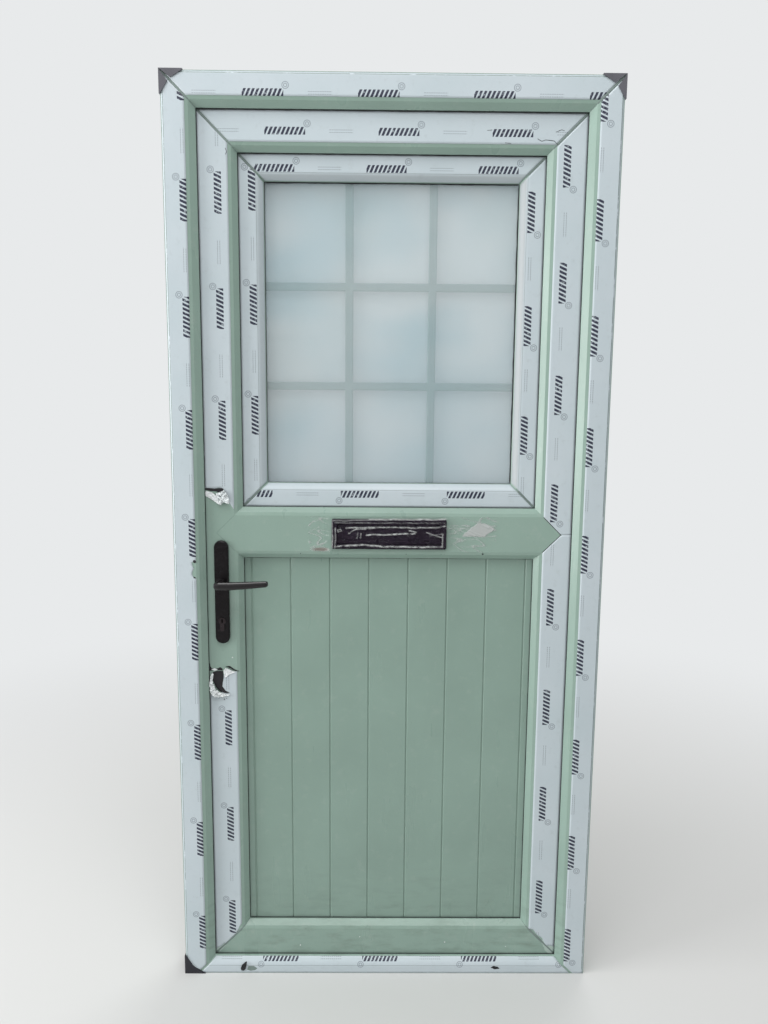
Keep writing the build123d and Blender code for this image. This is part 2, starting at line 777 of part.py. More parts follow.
# Hinges: the knuckles stand on the room side, at the right seen from outside.
flag_margin = 2.0
door_hinge_corner = 220.0   # from the corners of the frame to the outer hinges
door_hinge_setback = 30.0   # from the frame's outer edge to the axis
door_hinge_stand = 8.0      # from the leaf's room face to the axis
door_leaf_flag = 44.0       # length of a flag on the leaf
door_hinge_heights = (door_hinge_corner, frame_height / 2, frame_height - door_hinge_corner)
door_hinge = Hinge(
    (half_width - door_hinge_setback, leaf_room_face + door_hinge_stand), door_hinge_heights,
    height=96.0, knuckle=8.0, pin=5.0, plate=4.5,
)
with BuildPart() as door_hinge_frame_flags:
    flag_x = (half_width - door_hinge_setback + flag_margin, half_width - flag_margin)
    door_hinge.fixed_flags(flag_x, room_face)
finish(door_hinge_frame_flags, "door_hinge_frame_flags")
with BuildPart() as door_hinge_leaf_flags:
    flag_end = leaf_ring.right - flag_margin
    door_hinge.turning_flags((flag_end - door_leaf_flag, flag_end), leaf_room_face)
finish(door_hinge_leaf_flags, "door_hinge_leaf_flags")

window_hinge_corner = 110.0
window_hinge_setback = 8.0  # from the upper sash's edge to the axis
window_hinge_stand = 7.0
window_leaf_flag = 27.0
window_sash_flag = 38.0
window_hinge = Hinge(
    (window_ring.right + window_hinge_setback, window_room_face + window_hinge_stand),
    (window_ring.bottom + window_hinge_corner, window_ring.top - window_hinge_corner),
    height=70.0, knuckle=7.0, pin=4.0, plate=4.0,
)
with BuildPart() as window_hinge_leaf_flags:
    flag_start = window_ring.right + window_hinge.knuckle
    window_hinge.fixed_flags((flag_start, flag_start + window_leaf_flag), leaf_room_face)
finish(window_hinge_leaf_flags, "window_hinge_leaf_flags")
with BuildPart() as window_hinge_sash_flags:
    flag_end = window_ring.right - flag_margin
    window_hinge.turning_flags((flag_end - window_sash_flag, flag_end), window_room_face)
finish(window_hinge_sash_flags, "window_hinge_sash_flags")


# Lock: a long faceplate in the leaf's edge, the gearbox and the two hook cases behind it.
faceplate_margin = 120.0
hook_hub_radius = 8.0
hook_pin_radius = 3.0
bolt_gap = 1.0
bolt_edge = 2.0
hook_nose_height = 10.0
with BuildPart() as lock_faceplate:
    ends = (hook_heights["hook_lower"] - faceplate_margin, hook_heights["hook_upper"] + faceplate_margin)
    block((leaf_edge, case_face), around(hardware_y, groove_width), ends)
    bolt_slots((leaf_edge - past, case_face + past), slide_fit)
finish(lock_faceplate, "lock_faceplate")

with BuildPart() as lock_cases:
    case_x = (case_face, case_face + case_depth)
    case_y = around(hardware_y, case_thickness)
    through_y = around(hardware_y, case_thickness + 2 * past)
    block(case_x, case_y, (case_bottom, case_top))
    rod_y(spindle_x, spindle_height, through_y, hub_radius + running_fit, mode=Mode.SUBTRACT)
    cylinder_hole(through_y, slide_fit)
    cam_y = around(hardware_y, cam_thickness + 2 * slide_fit)
    rod_y(spindle_x, cylinder_height, cam_y, cam_radius + bolt_gap, mode=Mode.SUBTRACT)
    for height, size in ((latch_height, latch_size), (deadbolt_height, deadbolt_size)):
        x = (case_face - past, leaf_edge + size[0] + bolt_gap)
        y, z = around(hardware_y, size[1] + 2 * slide_fit), around(height, size[2] + 2 * slide_fit)
        block(x, y, z, mode=Mode.SUBTRACT)
    for height in hook_heights.values():
        low, high = height - hook_slot_low, height + hook_sweep
        outer_z = (low - hook_case_margin, high + hook_case_margin)
        block((case_face, case_face + hook_case_depth), case_y, outer_z)
        hollow_x = (case_face - past, hook_pivot_x + hook_hub_radius + bolt_gap)
        hollow_y = around(hardware_y, hook_thickness + 2 * slide_fit)
        block(hollow_x, hollow_y, (low - bolt_gap, high + bolt_gap), mode=Mode.SUBTRACT)
        rod_y(hook_pivot_x, height, case_y, hook_pin_radius)
finish(lock_cases, "lock_cases")

# Bolts, drawn back flush with the faceplate.
with BuildPart() as latch_bolt:
    latch_y = around(hardware_y, latch_size[1])
    block((leaf_edge, leaf_edge + latch_size[0]), latch_y, around(latch_height, latch_size[2]))
    nose = latch_bolt.edges().filter_by(Axis.Z).group_by(Axis.X)[0].sort_by(Axis.Y)[0]
    chamfer(nose, latch_bevel)
finish(latch_bolt, "latch_bolt")

with BuildPart() as deadbolt:
    bolt_y = around(hardware_y, deadbolt_size[1])
    block((leaf_edge, leaf_edge + deadbolt_size[0]), bolt_y, around(deadbolt_height, deadbolt_size[2]))
    fillet(deadbolt.edges().filter_by(Axis.Y).group_by(Axis.X)[0], bolt_edge)
finish(deadbolt, "deadbolt")

for name, height in hook_heights.items():
    with BuildPart() as hook:
        with BuildSketch(Plane((hook_pivot_x, hardware_y, height), (1, 0, 0), (0, -1, 0))):
            Circle(hook_hub_radius - bolt_gap)
            with Locations((0, hook_reach / 2)):
                Rectangle(hook_arm, hook_reach)
            with Locations((-hook_nose / 2, hook_reach - hook_nose_height / 2)):
                Rectangle(hook_nose, hook_nose_height)
            Circle(hook_pin_radius + running_fit, mode=Mode.SUBTRACT)
        extrude(amount=hook_thickness / 2, both=True)
        tip_edges = hook.edges().filter_by(Axis.Y).group_by(Axis.Z)[-1]
        chamfer(tip_edges, hook_arm / 4)
    finish(hook, name)

# Lock cylinder with its turning plug and cam.
cylinder_stand = 2.0
cylinder_reach = backplate_depth + cylinder_stand
cylinder_y = (leaf_front - cylinder_reach, leaf_room_face + cylinder_reach)
with BuildPart() as lock_cylinder:
    with BuildSketch(Plane((spindle_x, cylinder_y[0], cylinder_height), (1, 0, 0), (0, -1, 0))):
        cylinder_profile(0.0)
    extrude(amount=cylinder_y[0] - cylinder_y[1])
    rod_y(spindle_x, cylinder_height, cylinder_y, plug_radius + running_fit, mode=Mode.SUBTRACT)
    cam_gap = around(hardware_y, cam_thickness + 2 * slide_fit)
    above = (cylinder_height - cam_radius - bolt_gap, cylinder_height + cam_radius)
    block(around(spindle_x, 3 * cylinder_radius), cam_gap, above, mode=Mode.SUBTRACT)
finish(lock_cylinder, "lock_cylinder")

with BuildPart() as cylinder_plug:
    rod_y(spindle_x, cylinder_height, cylinder_y, plug_radius)
    cam_y = around(hardware_y, cam_thickness)
    rod_y(spindle_x, cylinder_height, cam_y, cylinder_radius - slide_fit)
    cam_z = (cylinder_height, cylinder_height + cam_radius - bolt_gap)
    block(around(spindle_x, cylinder_web), cam_y, cam_z)
    for end, inward in ((cylinder_y[0], 1), (cylinder_y[1], -1)):
        slot_y = (end - inward * past, end + inward * key_slot_depth)
        slot_x, slot_z = around(spindle_x, key_slot[0]), around(cylinder_height, key_slot[1])
        block(slot_x, slot_y, slot_z, mode=Mode.SUBTRACT)
finish(cylinder_plug, "cylinder_plug")

# Handles: the outside pair is drawn, and the inside pair mirrors it about the leaf's middle.
leaf_middle_plane = Plane.XZ.offset(-(leaf_front + leaf_room_face) / 2)
neck_radius = 8.0
collar_radius = 10.5
spindle_end_gap = 2.0
plate_middle = spindle_height + backplate_top - backplate_length / 2
with BuildPart() as outside_backplate:
    with BuildSketch(Plane((spindle_x, leaf_front, plate_middle), (1, 0, 0), (0, -1, 0))):
        SlotOverall(backplate_length, backplate_width, rotation=90)
    extrude(amount=backplate_depth)
    chamfer(outside_backplate.faces().sort_by(Axis.Y)[0].edges(), backplate_edge)
    plate_y = (leaf_front - backplate_depth - past, leaf_front + past)
    rod_y(spindle_x, spindle_height, plate_y, neck_radius + running_fit, mode=Mode.SUBTRACT)
    cylinder_hole(plate_y, slide_fit)
finish(outside_backplate, "outside_backplate")

lever_y = leaf_front - lever_standoff
oval_corners = 16
oval_power = 0.75           # 1 gives an ellipse, less gives fuller corners


def oval(deep, tall):
    """The full oval section of a lever, as a polygon in the current sketch."""
    corners = []
    for number in range(oval_corners):
        turn = 2 * math.pi * (number + 0.5) / oval_corners
        across, up = math.cos(turn), math.sin(turn)
        x = math.copysign(abs(across) ** oval_power, across) * deep / 2
        y = math.copysign(abs(up) ** oval_power, up) * tall / 2
        corners.append((x, y))
    Polygon(*corners, align=None)


lever_stations = (
    # along X from the spindle, rise, set back towards the leaf, height and depth of the section
    (-11.0, 0.0, 1.5, 9.0, 6.0),
    (-8.0, 0.0, 0.5, 16.0, 12.0),
    (0.0, 0.0, 0.0, 19.0, 15.0),
    (24.0, 0.0, 0.0, 19.0, 14.0),
    (60.0, 1.5, 1.0, 17.0, 12.5),
    (lever_reach - 4.0, 4.4, 3.4, 14.0, 10.5),
    (lever_reach, 4.8, 4.0, 9.0, 6.5),
)
lever_root_radius = 9.0
collar_length = 8.0
socket_start = 16.0         # from the lever's middle to the bottom of its square socket
with BuildPart() as outside_lever:
    for along, rise, back, tall, deep in lever_stations:
        station = Plane((spindle_x + along, lever_y + back, spindle_height + rise), (0, 1, 0), (1, 0, 0))
        with BuildSketch(station):
            oval(deep, tall)
    loft(ruled=True)
    plate_face = leaf_front - backplate_depth
    collar_end = plate_face - slide_fit
    rod_y(spindle_x, spindle_height, (lever_y, collar_end), lever_root_radius)
    rod_y(spindle_x, spindle_height, (collar_end - collar_length, collar_end), collar_radius)
    rod_y(spindle_x, spindle_height, (plate_face - past, leaf_front), neck_radius)
    socket = spindle_size + slide_fit
    socket_y = (lever_y + socket_start, leaf_front + past)
    socket_x, socket_z = around(spindle_x, socket), around(spindle_height, socket)
    block(socket_x, socket_y, socket_z, mode=Mode.SUBTRACT)
finish(outside_lever, "outside_lever")

for outside, name in ((outside_backplate, "inside_backplate"), (outside_lever, "inside_lever")):
    with BuildPart() as inside:
        mirror(outside.part, about=leaf_middle_plane)
    finish(inside, name)

with BuildPart() as lever_spindle:
    spindle_end = lever_y + socket_start + spindle_end_gap
    spindle_y = (spindle_end, leaf_front + leaf_room_face - spindle_end)
    block(around(spindle_x, spindle_size), spindle_y, around(spindle_height, spindle_size))
    rod_y(spindle_x, spindle_height, around(hardware_y, case_thickness), hub_radius)
finish(lever_spindle, "lever_spindle")

# Keeps on the frame, opposite the bolts and hooks.
with BuildPart() as latch_keep:
    keep_bottom = deadbolt_height - deadbolt_size[2] / 2 - keep_margin
    keep_top = latch_height + latch_size[2] / 2 + keep_margin
    keep_x, keep_y = (frame_rebate, frame_rebate + latch_keep_thickness), around(hardware_y, keep_width)
    block(keep_x, keep_y, (keep_bottom, keep_top))
    bolt_slots((frame_rebate - past, leaf_edge), slot_play)
finish(latch_keep, "latch_keep")

with BuildPart() as hook_keeps:
    for height in hook_heights.values():
        z = (height - hook_slot_low - keep_margin, height + hook_sweep + keep_margin)
        block((frame_rebate, frame_rebate + keep_thickness), around(hardware_y, keep_width), z)
    bolt_slots((frame_rebate - past, leaf_edge), slot_play, with_latch=False)
finish(hook_keeps, "hook_keeps")

# Letterplate: an outer frame and an inner frame whose sleeves slide into each other.
plate_depth = 8.0
letterplate_corner = 4.0
letterplate_bevel = 2.5
sleeve_wall = 2.0
sleeve_outer = (letter_hole[0] - 2 * slide_fit, letter_hole[1] - 2 * slide_fit)
sleeve_step = 2 * (sleeve_wall + slide_fit)
sleeve_inner = (sleeve_outer[0] - sleeve_step, sleeve_outer[1] - sleeve_step)
outer_sleeve_length = 38.0
inner_sleeve_length = 40.0
flap_size = (238.0, 46.0)
flap_thickness = 2.5
outer_flap_thickness = 3.5
flap_border = (11.0, 7.0)
flap_edge = 1.0
flap_recess = 1.0
flap_clearance = 0.4
inner_plate_depth = 6.0
flap_barrel_radius = 3.0
flap_pin_radius = 1.5
flap_lug = 4.0
flap_lug_gap = 0.5


def letter_tube(size, y):
    """A rectangular sleeve through the mid rail."""
    x, z = around(0, size[0]), around(mid_rail_height, size[1])
    block(x, y, z)
    x, z = around(0, size[0] - 2 * sleeve_wall), around(mid_rail_height, size[1] - 2 * sleeve_wall)
    block(x, (y[0] - past, y[1] + past), z, mode=Mode.SUBTRACT)


with BuildPart() as letterplate_frame:
    outer_face = leaf_front - plate_depth
    plate_z = around(mid_rail_height, letterplate_height)
    block(around(0, letterplate_width), (outer_face, leaf_front), plate_z)
    fillet(letterplate_frame.edges().filter_by(Axis.Y), letterplate_corner)
    chamfer(letterplate_frame.faces().sort_by(Axis.Y)[0].edges(), letterplate_bevel)
    mouth_x = around(0, flap_size[0] + 2 * flap_clearance)
    mouth_z = around(mid_rail_height, flap_size[1] + 2 * flap_clearance)
    block(mouth_x, (outer_face - past, leaf_front + past), mouth_z, mode=Mode.SUBTRACT)
    ledge_y = (leaf_front - sleeve_wall, leaf_front)
    block(mouth_x, ledge_y, mouth_z)
    letter_tube(sleeve_outer, (leaf_front - sleeve_wall, leaf_front + outer_sleeve_length))
finish(letterplate_frame, "letterplate_frame")

with BuildPart() as letterplate_outer_flap:
    flap_y = (leaf_front - sleeve_wall - outer_flap_thickness, leaf_front - sleeve_wall)
    block(around(0, flap_size[0]), flap_y, around(mid_rail_height, flap_size[1]))
    chamfer(letterplate_outer_flap.faces().sort_by(Axis.Y)[0].edges(), flap_edge)
    panel_x = around(0, flap_size[0] - 2 * flap_border[0])
    panel_z = around(mid_rail_height, flap_size[1] - 2 * flap_border[1])
    block(panel_x, (flap_y[0] - past, flap_y[0] + flap_recess), panel_z, mode=Mode.SUBTRACT)
finish(letterplate_outer_flap, "letterplate_outer_flap")

inner_face = leaf_room_face + inner_plate_depth
barrel_y = inner_face + flap_barrel_radius + slide_fit
barrel_z = mid_rail_height + letterplate_inner_height / 2 - flap_barrel_radius - flap_lug_gap
with BuildPart() as letterplate_inner_frame:
    plate_z = around(mid_rail_height, letterplate_inner_height)
    block(around(0, letterplate_width), (leaf_room_face, inner_face), plate_z)
    fillet(letterplate_inner_frame.edges().filter_by(Axis.Y), letterplate_corner)
    sleeve_y = (leaf_room_face - inner_sleeve_length, inner_face)
    letter_tube(sleeve_inner, sleeve_y)
    for direction in (-1, 1):
        lug_start = flap_size[0] / 2 + flap_lug_gap
        lug_x = (direction * lug_start, direction * (lug_start + flap_lug))
        lug_y = (inner_face, barrel_y + flap_barrel_radius)
        block(lug_x, lug_y, around(barrel_z, 2 * flap_barrel_radius))
        bore_x = (lug_x[0] - direction * past, lug_x[1] + direction * past)
        rod_x(barrel_y, barrel_z, bore_x, flap_pin_radius + running_fit, mode=Mode.SUBTRACT)
finish(letterplate_inner_frame, "letterplate_inner_frame")

with BuildPart() as letterplate_inner_flap:
    flap_y = (inner_face + slide_fit, inner_face + slide_fit + flap_thickness)
    flap_z = (mid_rail_height - flap_size[1] / 2, barrel_z)
    block(around(0, flap_size[0]), flap_y, flap_z)
    rod_x(barrel_y, barrel_z, around(0, flap_size[0]), flap_barrel_radius)
    pin_length = flap_size[0] + 2 * (flap_lug_gap + flap_lug)
    rod_x(barrel_y, barrel_z, around(0, pin_length), flap_pin_radius)
finish(letterplate_inner_flap, "letterplate_inner_flap")

# Clear tape over the letterplate, from one side of the mid rail to the other.
tape_over_left = 55.5       # how far the tape runs past each side of the letterplate
tape_over_right = 117.5
tape_over_low = 7.0
tape_over_high = 5.0
tape_slope = 6.0
tape_left, tape_right = -letterplate_width / 2 - tape_over_left, letterplate_width / 2 + tape_over_right
tape_bottom = mid_rail_height - letterplate_height / 2 - tape_over_low
tape_top = mid_rail_height + letterplate_height / 2 + tape_over_high
with BuildPart() as letterplate_tape:
    with BuildSketch(Plane.XY.offset(tape_bottom)):
        half_plate = letterplate_width / 2 + film_thickness
        path = [
            (tape_left, leaf_front),
            (-half_plate - tape_slope, leaf_front),
            (-half_plate, outer_face),
            (half_plate, outer_face),
            (half_plate + tape_slope, leaf_front),
            (tape_right, leaf_front),
        ]
        with BuildLine():
            Polyline(path + [(x, y - film_thickness) for x, y in reversed(path)], close=True)
        make_face()
    extrude(amount=tape_top - tape_bottom)
finish(letterplate_tape, "letterplate_tape")

# Corner protectors: walls round the outer corner with a pair of gussets on the front and back.
protector_arm = 48.0
protector_wall = 2.5
gusset_inner = (22.0, 16.0)
gusset_gap = 1.5


def corner_protector(side, top):
    """A push-on corner cap at one corner; at the floor it has no wall under the frame."""
    corner_x = side * half_width
    corner_z = frame_height if top else 0.0
    up = 1 if top else -1
    y = (front - film_thickness - protector_wall, room_face + protector_wall)
    x = (corner_x, corner_x + side * protector_wall)
    z = (corner_z - up * protector_arm, corner_z + (protector_wall if top else 0))
    block(x, y, z)
    if top:
        across = (corner_x + side * protector_wall, corner_x - side * protector_arm)
        block(across, y, (corner_z, z[1]))
    far, near = gusset_inner
    gusset_half = [(0, gusset_gap), (0, protector_arm), (near, far)]
    gussets = [gusset_half, [(u, w) for w, u in gusset_half]]
    if not top:
        gussets = [[(0, 0), (0, protector_arm), (near, far), (far, near), (protector_arm, 0)]]
    for plate_y in (y[0], room_face):
        plane_at = Plane((corner_x, plate_y, corner_z), (1, 0, 0), (0, -1, 0))
        with BuildSketch(plane_at) as gusset_sketch:
            for gusset in gussets:
                with BuildLine():
                    Polyline([(-side * u, -up * w) for u, w in gusset], close=True)
                make_face()
        extrude(gusset_sketch.sketch, amount=-protector_wall)


for name, side, top in (
    ("corner_protector_top_left", -1, True),
    ("corner_protector_top_right", 1, True),
    ("corner_protector_bottom_left", -1, False),
):
    with BuildPart() as protector:
        corner_protector(side, top)
    finish(protector, name)

# Protective films on the outside faces, cut back from the welded mitres and torn in places.
film_edge = 0.5             # bare strip beside the sightline of the lip in front
weld_gap = 4.0


def film_ring(ring, start, end):
    """Strips of film on the flat front of a ring, parted at the mitres."""
    y = (ring.front - film_thickness, ring.front)
    flat_ring(ring.opening(start), end - start, y)
    cut_ring_mitres(ring.opening(0), end, y, gap=weld_gap)


def tear(outline, y):
    """Takes away the film on a face at y inside an outline given in x and z."""
    with BuildSketch(Plane((0, y + past, 0), (1, 0, 0), (0, -1, 0))) as torn:
        with BuildLine():
            Polyline(outline, close=True)
        make_face()
    extrude(torn.sketch, amount=2 * past + film_thickness, mode=Mode.SUBTRACT)


film_margin = 1.0
notch_height = spindle_height + 34.0
notch = [(1, 20), (-6, 8), (-8, -10), (-3, -19), (1, -22)]      # torn out of the left strip's inner edge
with BuildPart() as frame_film:
    film_ring(frame_ring, film_margin, frame_profile.flat)
    split(bisect_by=Plane.XY, keep=Keep.TOP)
    notch_x = frame_ring.left + frame_profile.flat
    tear([(notch_x + u, notch_height + z) for u, z in notch], front)
finish(frame_film, "frame_film")

leaf_film_start = frame_profile.sight - leaf_inset + film_edge
leaf_film_end = leaf_profile.flat
# Torn edges on the leaf: distances across the stile, and heights above or below a level.
bare_top = [(20, 15), (46, 8), (72, -7), (100, -22)]
bare_low = [(100, -20), (78, -23), (52, -3), (20, 3)]
foot_left = [(20, -70), (45, -48), (100, 14)]
foot_right = [(100, 22), (62, -18), (40, -50), (20, -54)]
bare_above, bare_below = mid_rail_height + 69.0, cylinder_height - 131.0
foot_level = leaf_ring.bottom + leaf_profile.sight - 14.0
with BuildPart() as leaf_film:
    film_ring(leaf_ring, leaf_film_start, leaf_film_end)
    rail_notch(extra=film_margin)
    bare = [(leaf_ring.left + u, bare_above + z) for u, z in bare_top]
    bare += [(leaf_ring.left + u, bare_below + z) for u, z in bare_low]
    tear(bare, leaf_front)
    foot = [(leaf_ring.left + u, foot_level + z) for u, z in foot_left]
    foot += [(leaf_ring.right - u, foot_level + z) for u, z in foot_right]
    foot += [(leaf_ring.right, leaf_ring.bottom), (leaf_ring.left, leaf_ring.bottom)]
    tear(foot, leaf_front)
finish(leaf_film, "leaf_film")

window_film_start = leaf_profile.sight - window_inset + film_edge
with BuildPart() as window_film:
    film_ring(window_ring, window_film_start, window_profile.flat)
finish(window_film, "window_film")

# Handle of the upper sash, on the room side, lying flat when unlocked.
base_size = (28.0, 62.0)
base_depth = 11.0
base_bevel = 2.5
window_neck_radius = 6.5
window_lever_stand = 14.0
window_lever_y = window_room_face + base_depth + window_lever_stand
window_lever_stations = (
    # along X from the spindle, height and depth of the section
    (-11.0, 9.0, 5.0),
    (-7.0, 16.0, 9.0),
    (30.0, 17.0, 9.5),
    (108.0, 13.0, 8.0),
    (112.0, 9.0, 5.0),
)
with BuildPart() as window_handle_base:
    with BuildSketch(Plane((window_spindle_x, window_room_face, window_middle), (1, 0, 0), (0, -1, 0))):
        SlotOverall(base_size[1], base_size[0], rotation=90)
    extrude(amount=-base_depth)
    chamfer(window_handle_base.faces().sort_by(Axis.Y)[-1].edges(), base_bevel)
    bore = window_neck_radius + running_fit
    base_y = (window_room_face - past, window_room_face + base_depth + past)
    rod_y(window_spindle_x, window_middle, base_y, bore, mode=Mode.SUBTRACT)
finish(window_handle_base, "window_handle_base")

with BuildPart() as window_handle:
    for along, tall, deep in window_lever_stations:
        station = Plane((window_spindle_x + along, window_lever_y, window_middle), (0, 1, 0), (1, 0, 0))
        with BuildSketch(station):
            oval(deep, tall)
    loft(ruled=True)
    neck_y = (window_room_face + slide_fit, window_lever_y)
    rod_y(window_spindle_x, window_middle, neck_y, window_neck_radius)
    shaft_x = around(window_spindle_x, window_spindle_size)
    shaft_z = around(window_middle, window_spindle_size)
    shaft_y = (window_hardware_y - window_case[1] / 2, window_lever_y)
    block(shaft_x, shaft_y, shaft_z)
finish(window_handle, "window_handle")
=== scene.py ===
"""Looks of the stable door: foiled plastic profiles, torn protective films, tape over the letterplate,
satin glass and black ironmongery, lit plainly on a pale floor. Lengths are in metres."""

import json
import math

import bpy
from mathutils import Matrix, Vector, geometry, noise


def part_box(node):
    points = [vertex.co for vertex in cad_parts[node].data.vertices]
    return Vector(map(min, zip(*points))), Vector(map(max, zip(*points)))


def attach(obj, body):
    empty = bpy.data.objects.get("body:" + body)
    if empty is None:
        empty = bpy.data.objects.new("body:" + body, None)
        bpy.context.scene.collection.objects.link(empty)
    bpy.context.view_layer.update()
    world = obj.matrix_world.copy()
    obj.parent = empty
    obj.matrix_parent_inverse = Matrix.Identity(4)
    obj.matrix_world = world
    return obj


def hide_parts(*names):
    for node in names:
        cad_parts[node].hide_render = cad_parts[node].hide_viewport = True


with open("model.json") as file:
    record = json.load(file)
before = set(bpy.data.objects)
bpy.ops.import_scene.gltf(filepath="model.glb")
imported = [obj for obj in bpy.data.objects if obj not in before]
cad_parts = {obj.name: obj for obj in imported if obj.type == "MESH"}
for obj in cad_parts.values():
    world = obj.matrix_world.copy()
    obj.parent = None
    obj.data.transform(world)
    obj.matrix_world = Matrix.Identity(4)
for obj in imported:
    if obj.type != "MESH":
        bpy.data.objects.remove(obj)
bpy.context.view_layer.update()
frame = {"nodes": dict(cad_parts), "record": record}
MM = 0.001
INTO = Vector((0, 1, 0))


def srgb(*levels):
    """A colour given in 0-255 display values, as the linear values that Blender takes."""
    channels = []
    for level in levels:
        share = level / 255
        channels.append(share / 12.92 if share <= 0.04045 else ((share + 0.055) / 1.055) ** 2.4)
    return (*channels, 1.0)


def toned(colour, factor):
    """The colour made darker or lighter by a factor."""
    return tuple(min(1, channel * factor) for channel in colour[:3]) + (1,)


def uneven(*place):
    """Smooth noise between about -1 and 1 at a place that three numbers give."""
    return noise.noise(Vector(place))


# Depths behind each profile's flat front: at the ridge between its two facets, at its nose on the
# sightline and at the back of its lip. The threshold lacks its outermost strip.
RIDGE_DEPTH = 2 * MM
NOSE_DEPTH = 13.5 * MM
LIP_DEPTH = 16.5 * MM
THRESHOLD_CUT = 30 * MM

# Widths from each profile's outer edge: to the end of its flat front, to the ridge and to the sightline.
FRAME_WIDTHS = (50 * MM, 57 * MM, 70 * MM)
LEAF_WIDTHS = (96 * MM, 103 * MM, 114 * MM)
WINDOW_WIDTHS = (69 * MM, 74 * MM, 85 * MM)
UPRIGHTS = ("left", "right")


def side_axes(left, right, bottom, top, depth):
    """For each side its first corner, the direction along it, clockwise seen from outside, and inwards."""
    up, over = Vector((0, 0, 1)), Vector((1, 0, 0))
    return {
        "left": (Vector((left, depth, bottom)), up, over),
        "top": (Vector((left, depth, top)), over, -up),
        "right": (Vector((right, depth, top)), -up, -over),
        "bottom": (Vector((right, depth, bottom)), -over, up),
    }


class Ring:
    """Four mitred members round an opening, with the widths that all of them share."""

    def __init__(self, left, right, bottom, top, front, flat, ridge, sight):
        self.left, self.right, self.bottom, self.top, self.front = left, right, bottom, top, front
        self.flat, self.ridge, self.sight = flat, ridge, sight

    def axes(self, side):
        return side_axes(self.left, self.right, self.bottom, self.top, self.front)[side]

    def length(self, side):
        return self.top - self.bottom if side in UPRIGHTS else self.right - self.left

    def section(self, start, end=None):
        """Points (across, depth) of the front from one distance to another, or to the sightline."""
        end = end or self.sight
        corners = [(0.0, 0.0), (self.flat, 0.0), (self.ridge, RIDGE_DEPTH), (self.sight, NOSE_DEPTH)]
        points = [(start, 0.0)]
        for (u0, v0), (u1, v1) in zip(corners, corners[1:]):
            if end <= u1:
                return points + [(end, v0 + (end - u0) / (u1 - u0) * (v1 - v0))]
            points.append((u1, v1))
        return points


def ring_of(left, right, bottom, top, widths, drop=0.0):
    """The ring whose four members are these nodes. drop is what is missing below its lowest one."""
    low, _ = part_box(left)
    _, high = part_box(right)
    return Ring(low.x, high.x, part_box(bottom)[0].z - drop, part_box(top)[1].z, low.y, *widths)


frame_ring = ring_of(
    "frame_jamb_left", "frame_jamb_right", "frame_threshold", "frame_head", FRAME_WIDTHS, THRESHOLD_CUT
)
leaf_ring = ring_of("leaf_stile_left", "leaf_stile_right", "leaf_bottom_rail", "leaf_head", LEAF_WIDTHS)
window_ring = ring_of(
    "window_stile_left", "window_stile_right", "window_bottom_rail", "window_head", WINDOW_WIDTHS
)
SIGHT_MARGIN = 0.6 * MM


def shown_from(ring, before):
    """How far from its edge a ring comes into view, beside the sightline of the ring before it."""
    return before.sight - (ring.left - before.left) + SIGHT_MARGIN


leaf_start = shown_from(leaf_ring, frame_ring)
window_start = shown_from(window_ring, leaf_ring)


class Shader:
    """A material's nodes, with short calls for the few kinds that these finishes use."""

    def __init__(self, name):
        self.material = bpy.data.materials.new(name)
        self.material.use_nodes = True
        self.tree = self.material.node_tree
        self.surface = self.tree.nodes["Principled BSDF"]
        self.place = self.node("TexCoord").outputs["Object"]

    def node(self, kind):
        return self.tree.nodes.new("ShaderNode" + kind)

    def put(self, socket, value):
        if isinstance(value, bpy.types.NodeSocket):
            self.tree.links.new(value, socket)
        else:
            socket.default_value = value

    def math(self, operation, first, second=0.0, third=0.0):
        node = self.node("Math")
        node.operation = operation
        for socket, value in zip(node.inputs, (first, second, third)):
            self.put(socket, value)
        return node.outputs[0]

    def times(self, first, second):
        return self.math("MULTIPLY", first, second)

    def way_through(self, value, pitch):
        """How far the value is through a repeat of this length, from 0 to 1."""
        return self.math("FRACT", self.math("DIVIDE", value, pitch))

    def axis(self, letter):
        node = self.node("SeparateXYZ")
        self.put(node.inputs[0], self.place)
        return node.outputs[letter]

    def attribute(self, name):
        node = self.node("Attribute")
        node.attribute_name = name
        return node.outputs["Fac"]

    def noise(self, scale, detail=2.0, stretch=(1, 1, 1), roughness=0.5, distortion=0.0):
        """Noise with its scale in waves per metre, times stretch along each axis."""
        mapping = self.node("Mapping")
        mapping.inputs["Scale"].default_value = stretch
        self.put(mapping.inputs["Vector"], self.place)
        node = self.node("TexNoise")
        node.inputs["Scale"].default_value = scale
        node.inputs["Detail"].default_value = detail
        node.inputs["Roughness"].default_value = roughness
        node.inputs["Distortion"].default_value = distortion
        self.put(node.inputs["Vector"], mapping.outputs[0])
        return node.outputs["Fac"]

    def span(self, value, low, high, start=0.0, end=1.0):
        """The value's way from low to high, held within start and end."""
        node = self.node("MapRange")
        for socket, number in zip(node.inputs, (value, low, high, start, end)):
            self.put(socket, number)
        return node.outputs[0]

    def mix(self, share, first, second):
        node = self.node("Mix")
        node.data_type = "RGBA"
        self.put(node.inputs["Factor"], share)
        self.put(node.inputs[6], first)
        self.put(node.inputs[7], second)
        return node.outputs[2]

    def bump(self, height, distance, strength=1.0):
        node = self.node("Bump")
        node.inputs["Distance"].default_value = distance
        node.inputs["Strength"].default_value = strength
        self.put(node.inputs["Height"], height)
        self.put(self.surface.inputs["Normal"], node.outputs[0])

    def set(self, **values):
        """Sets the surface's inputs by their names and gives the finished material."""
        for name, value in values.items():
            self.put(self.surface.inputs[name.replace("_", " ").title()], value)
        return self.material


# Heights between which grime near the floor fades out, and depths in the panel's grooves between which
# painted light sets in, lightening their shade.
GRIME_HEIGHTS = (0.02, 0.3)
GROOVE_LIGHT_DEPTHS = (0.3 * MM, 1.5 * MM)


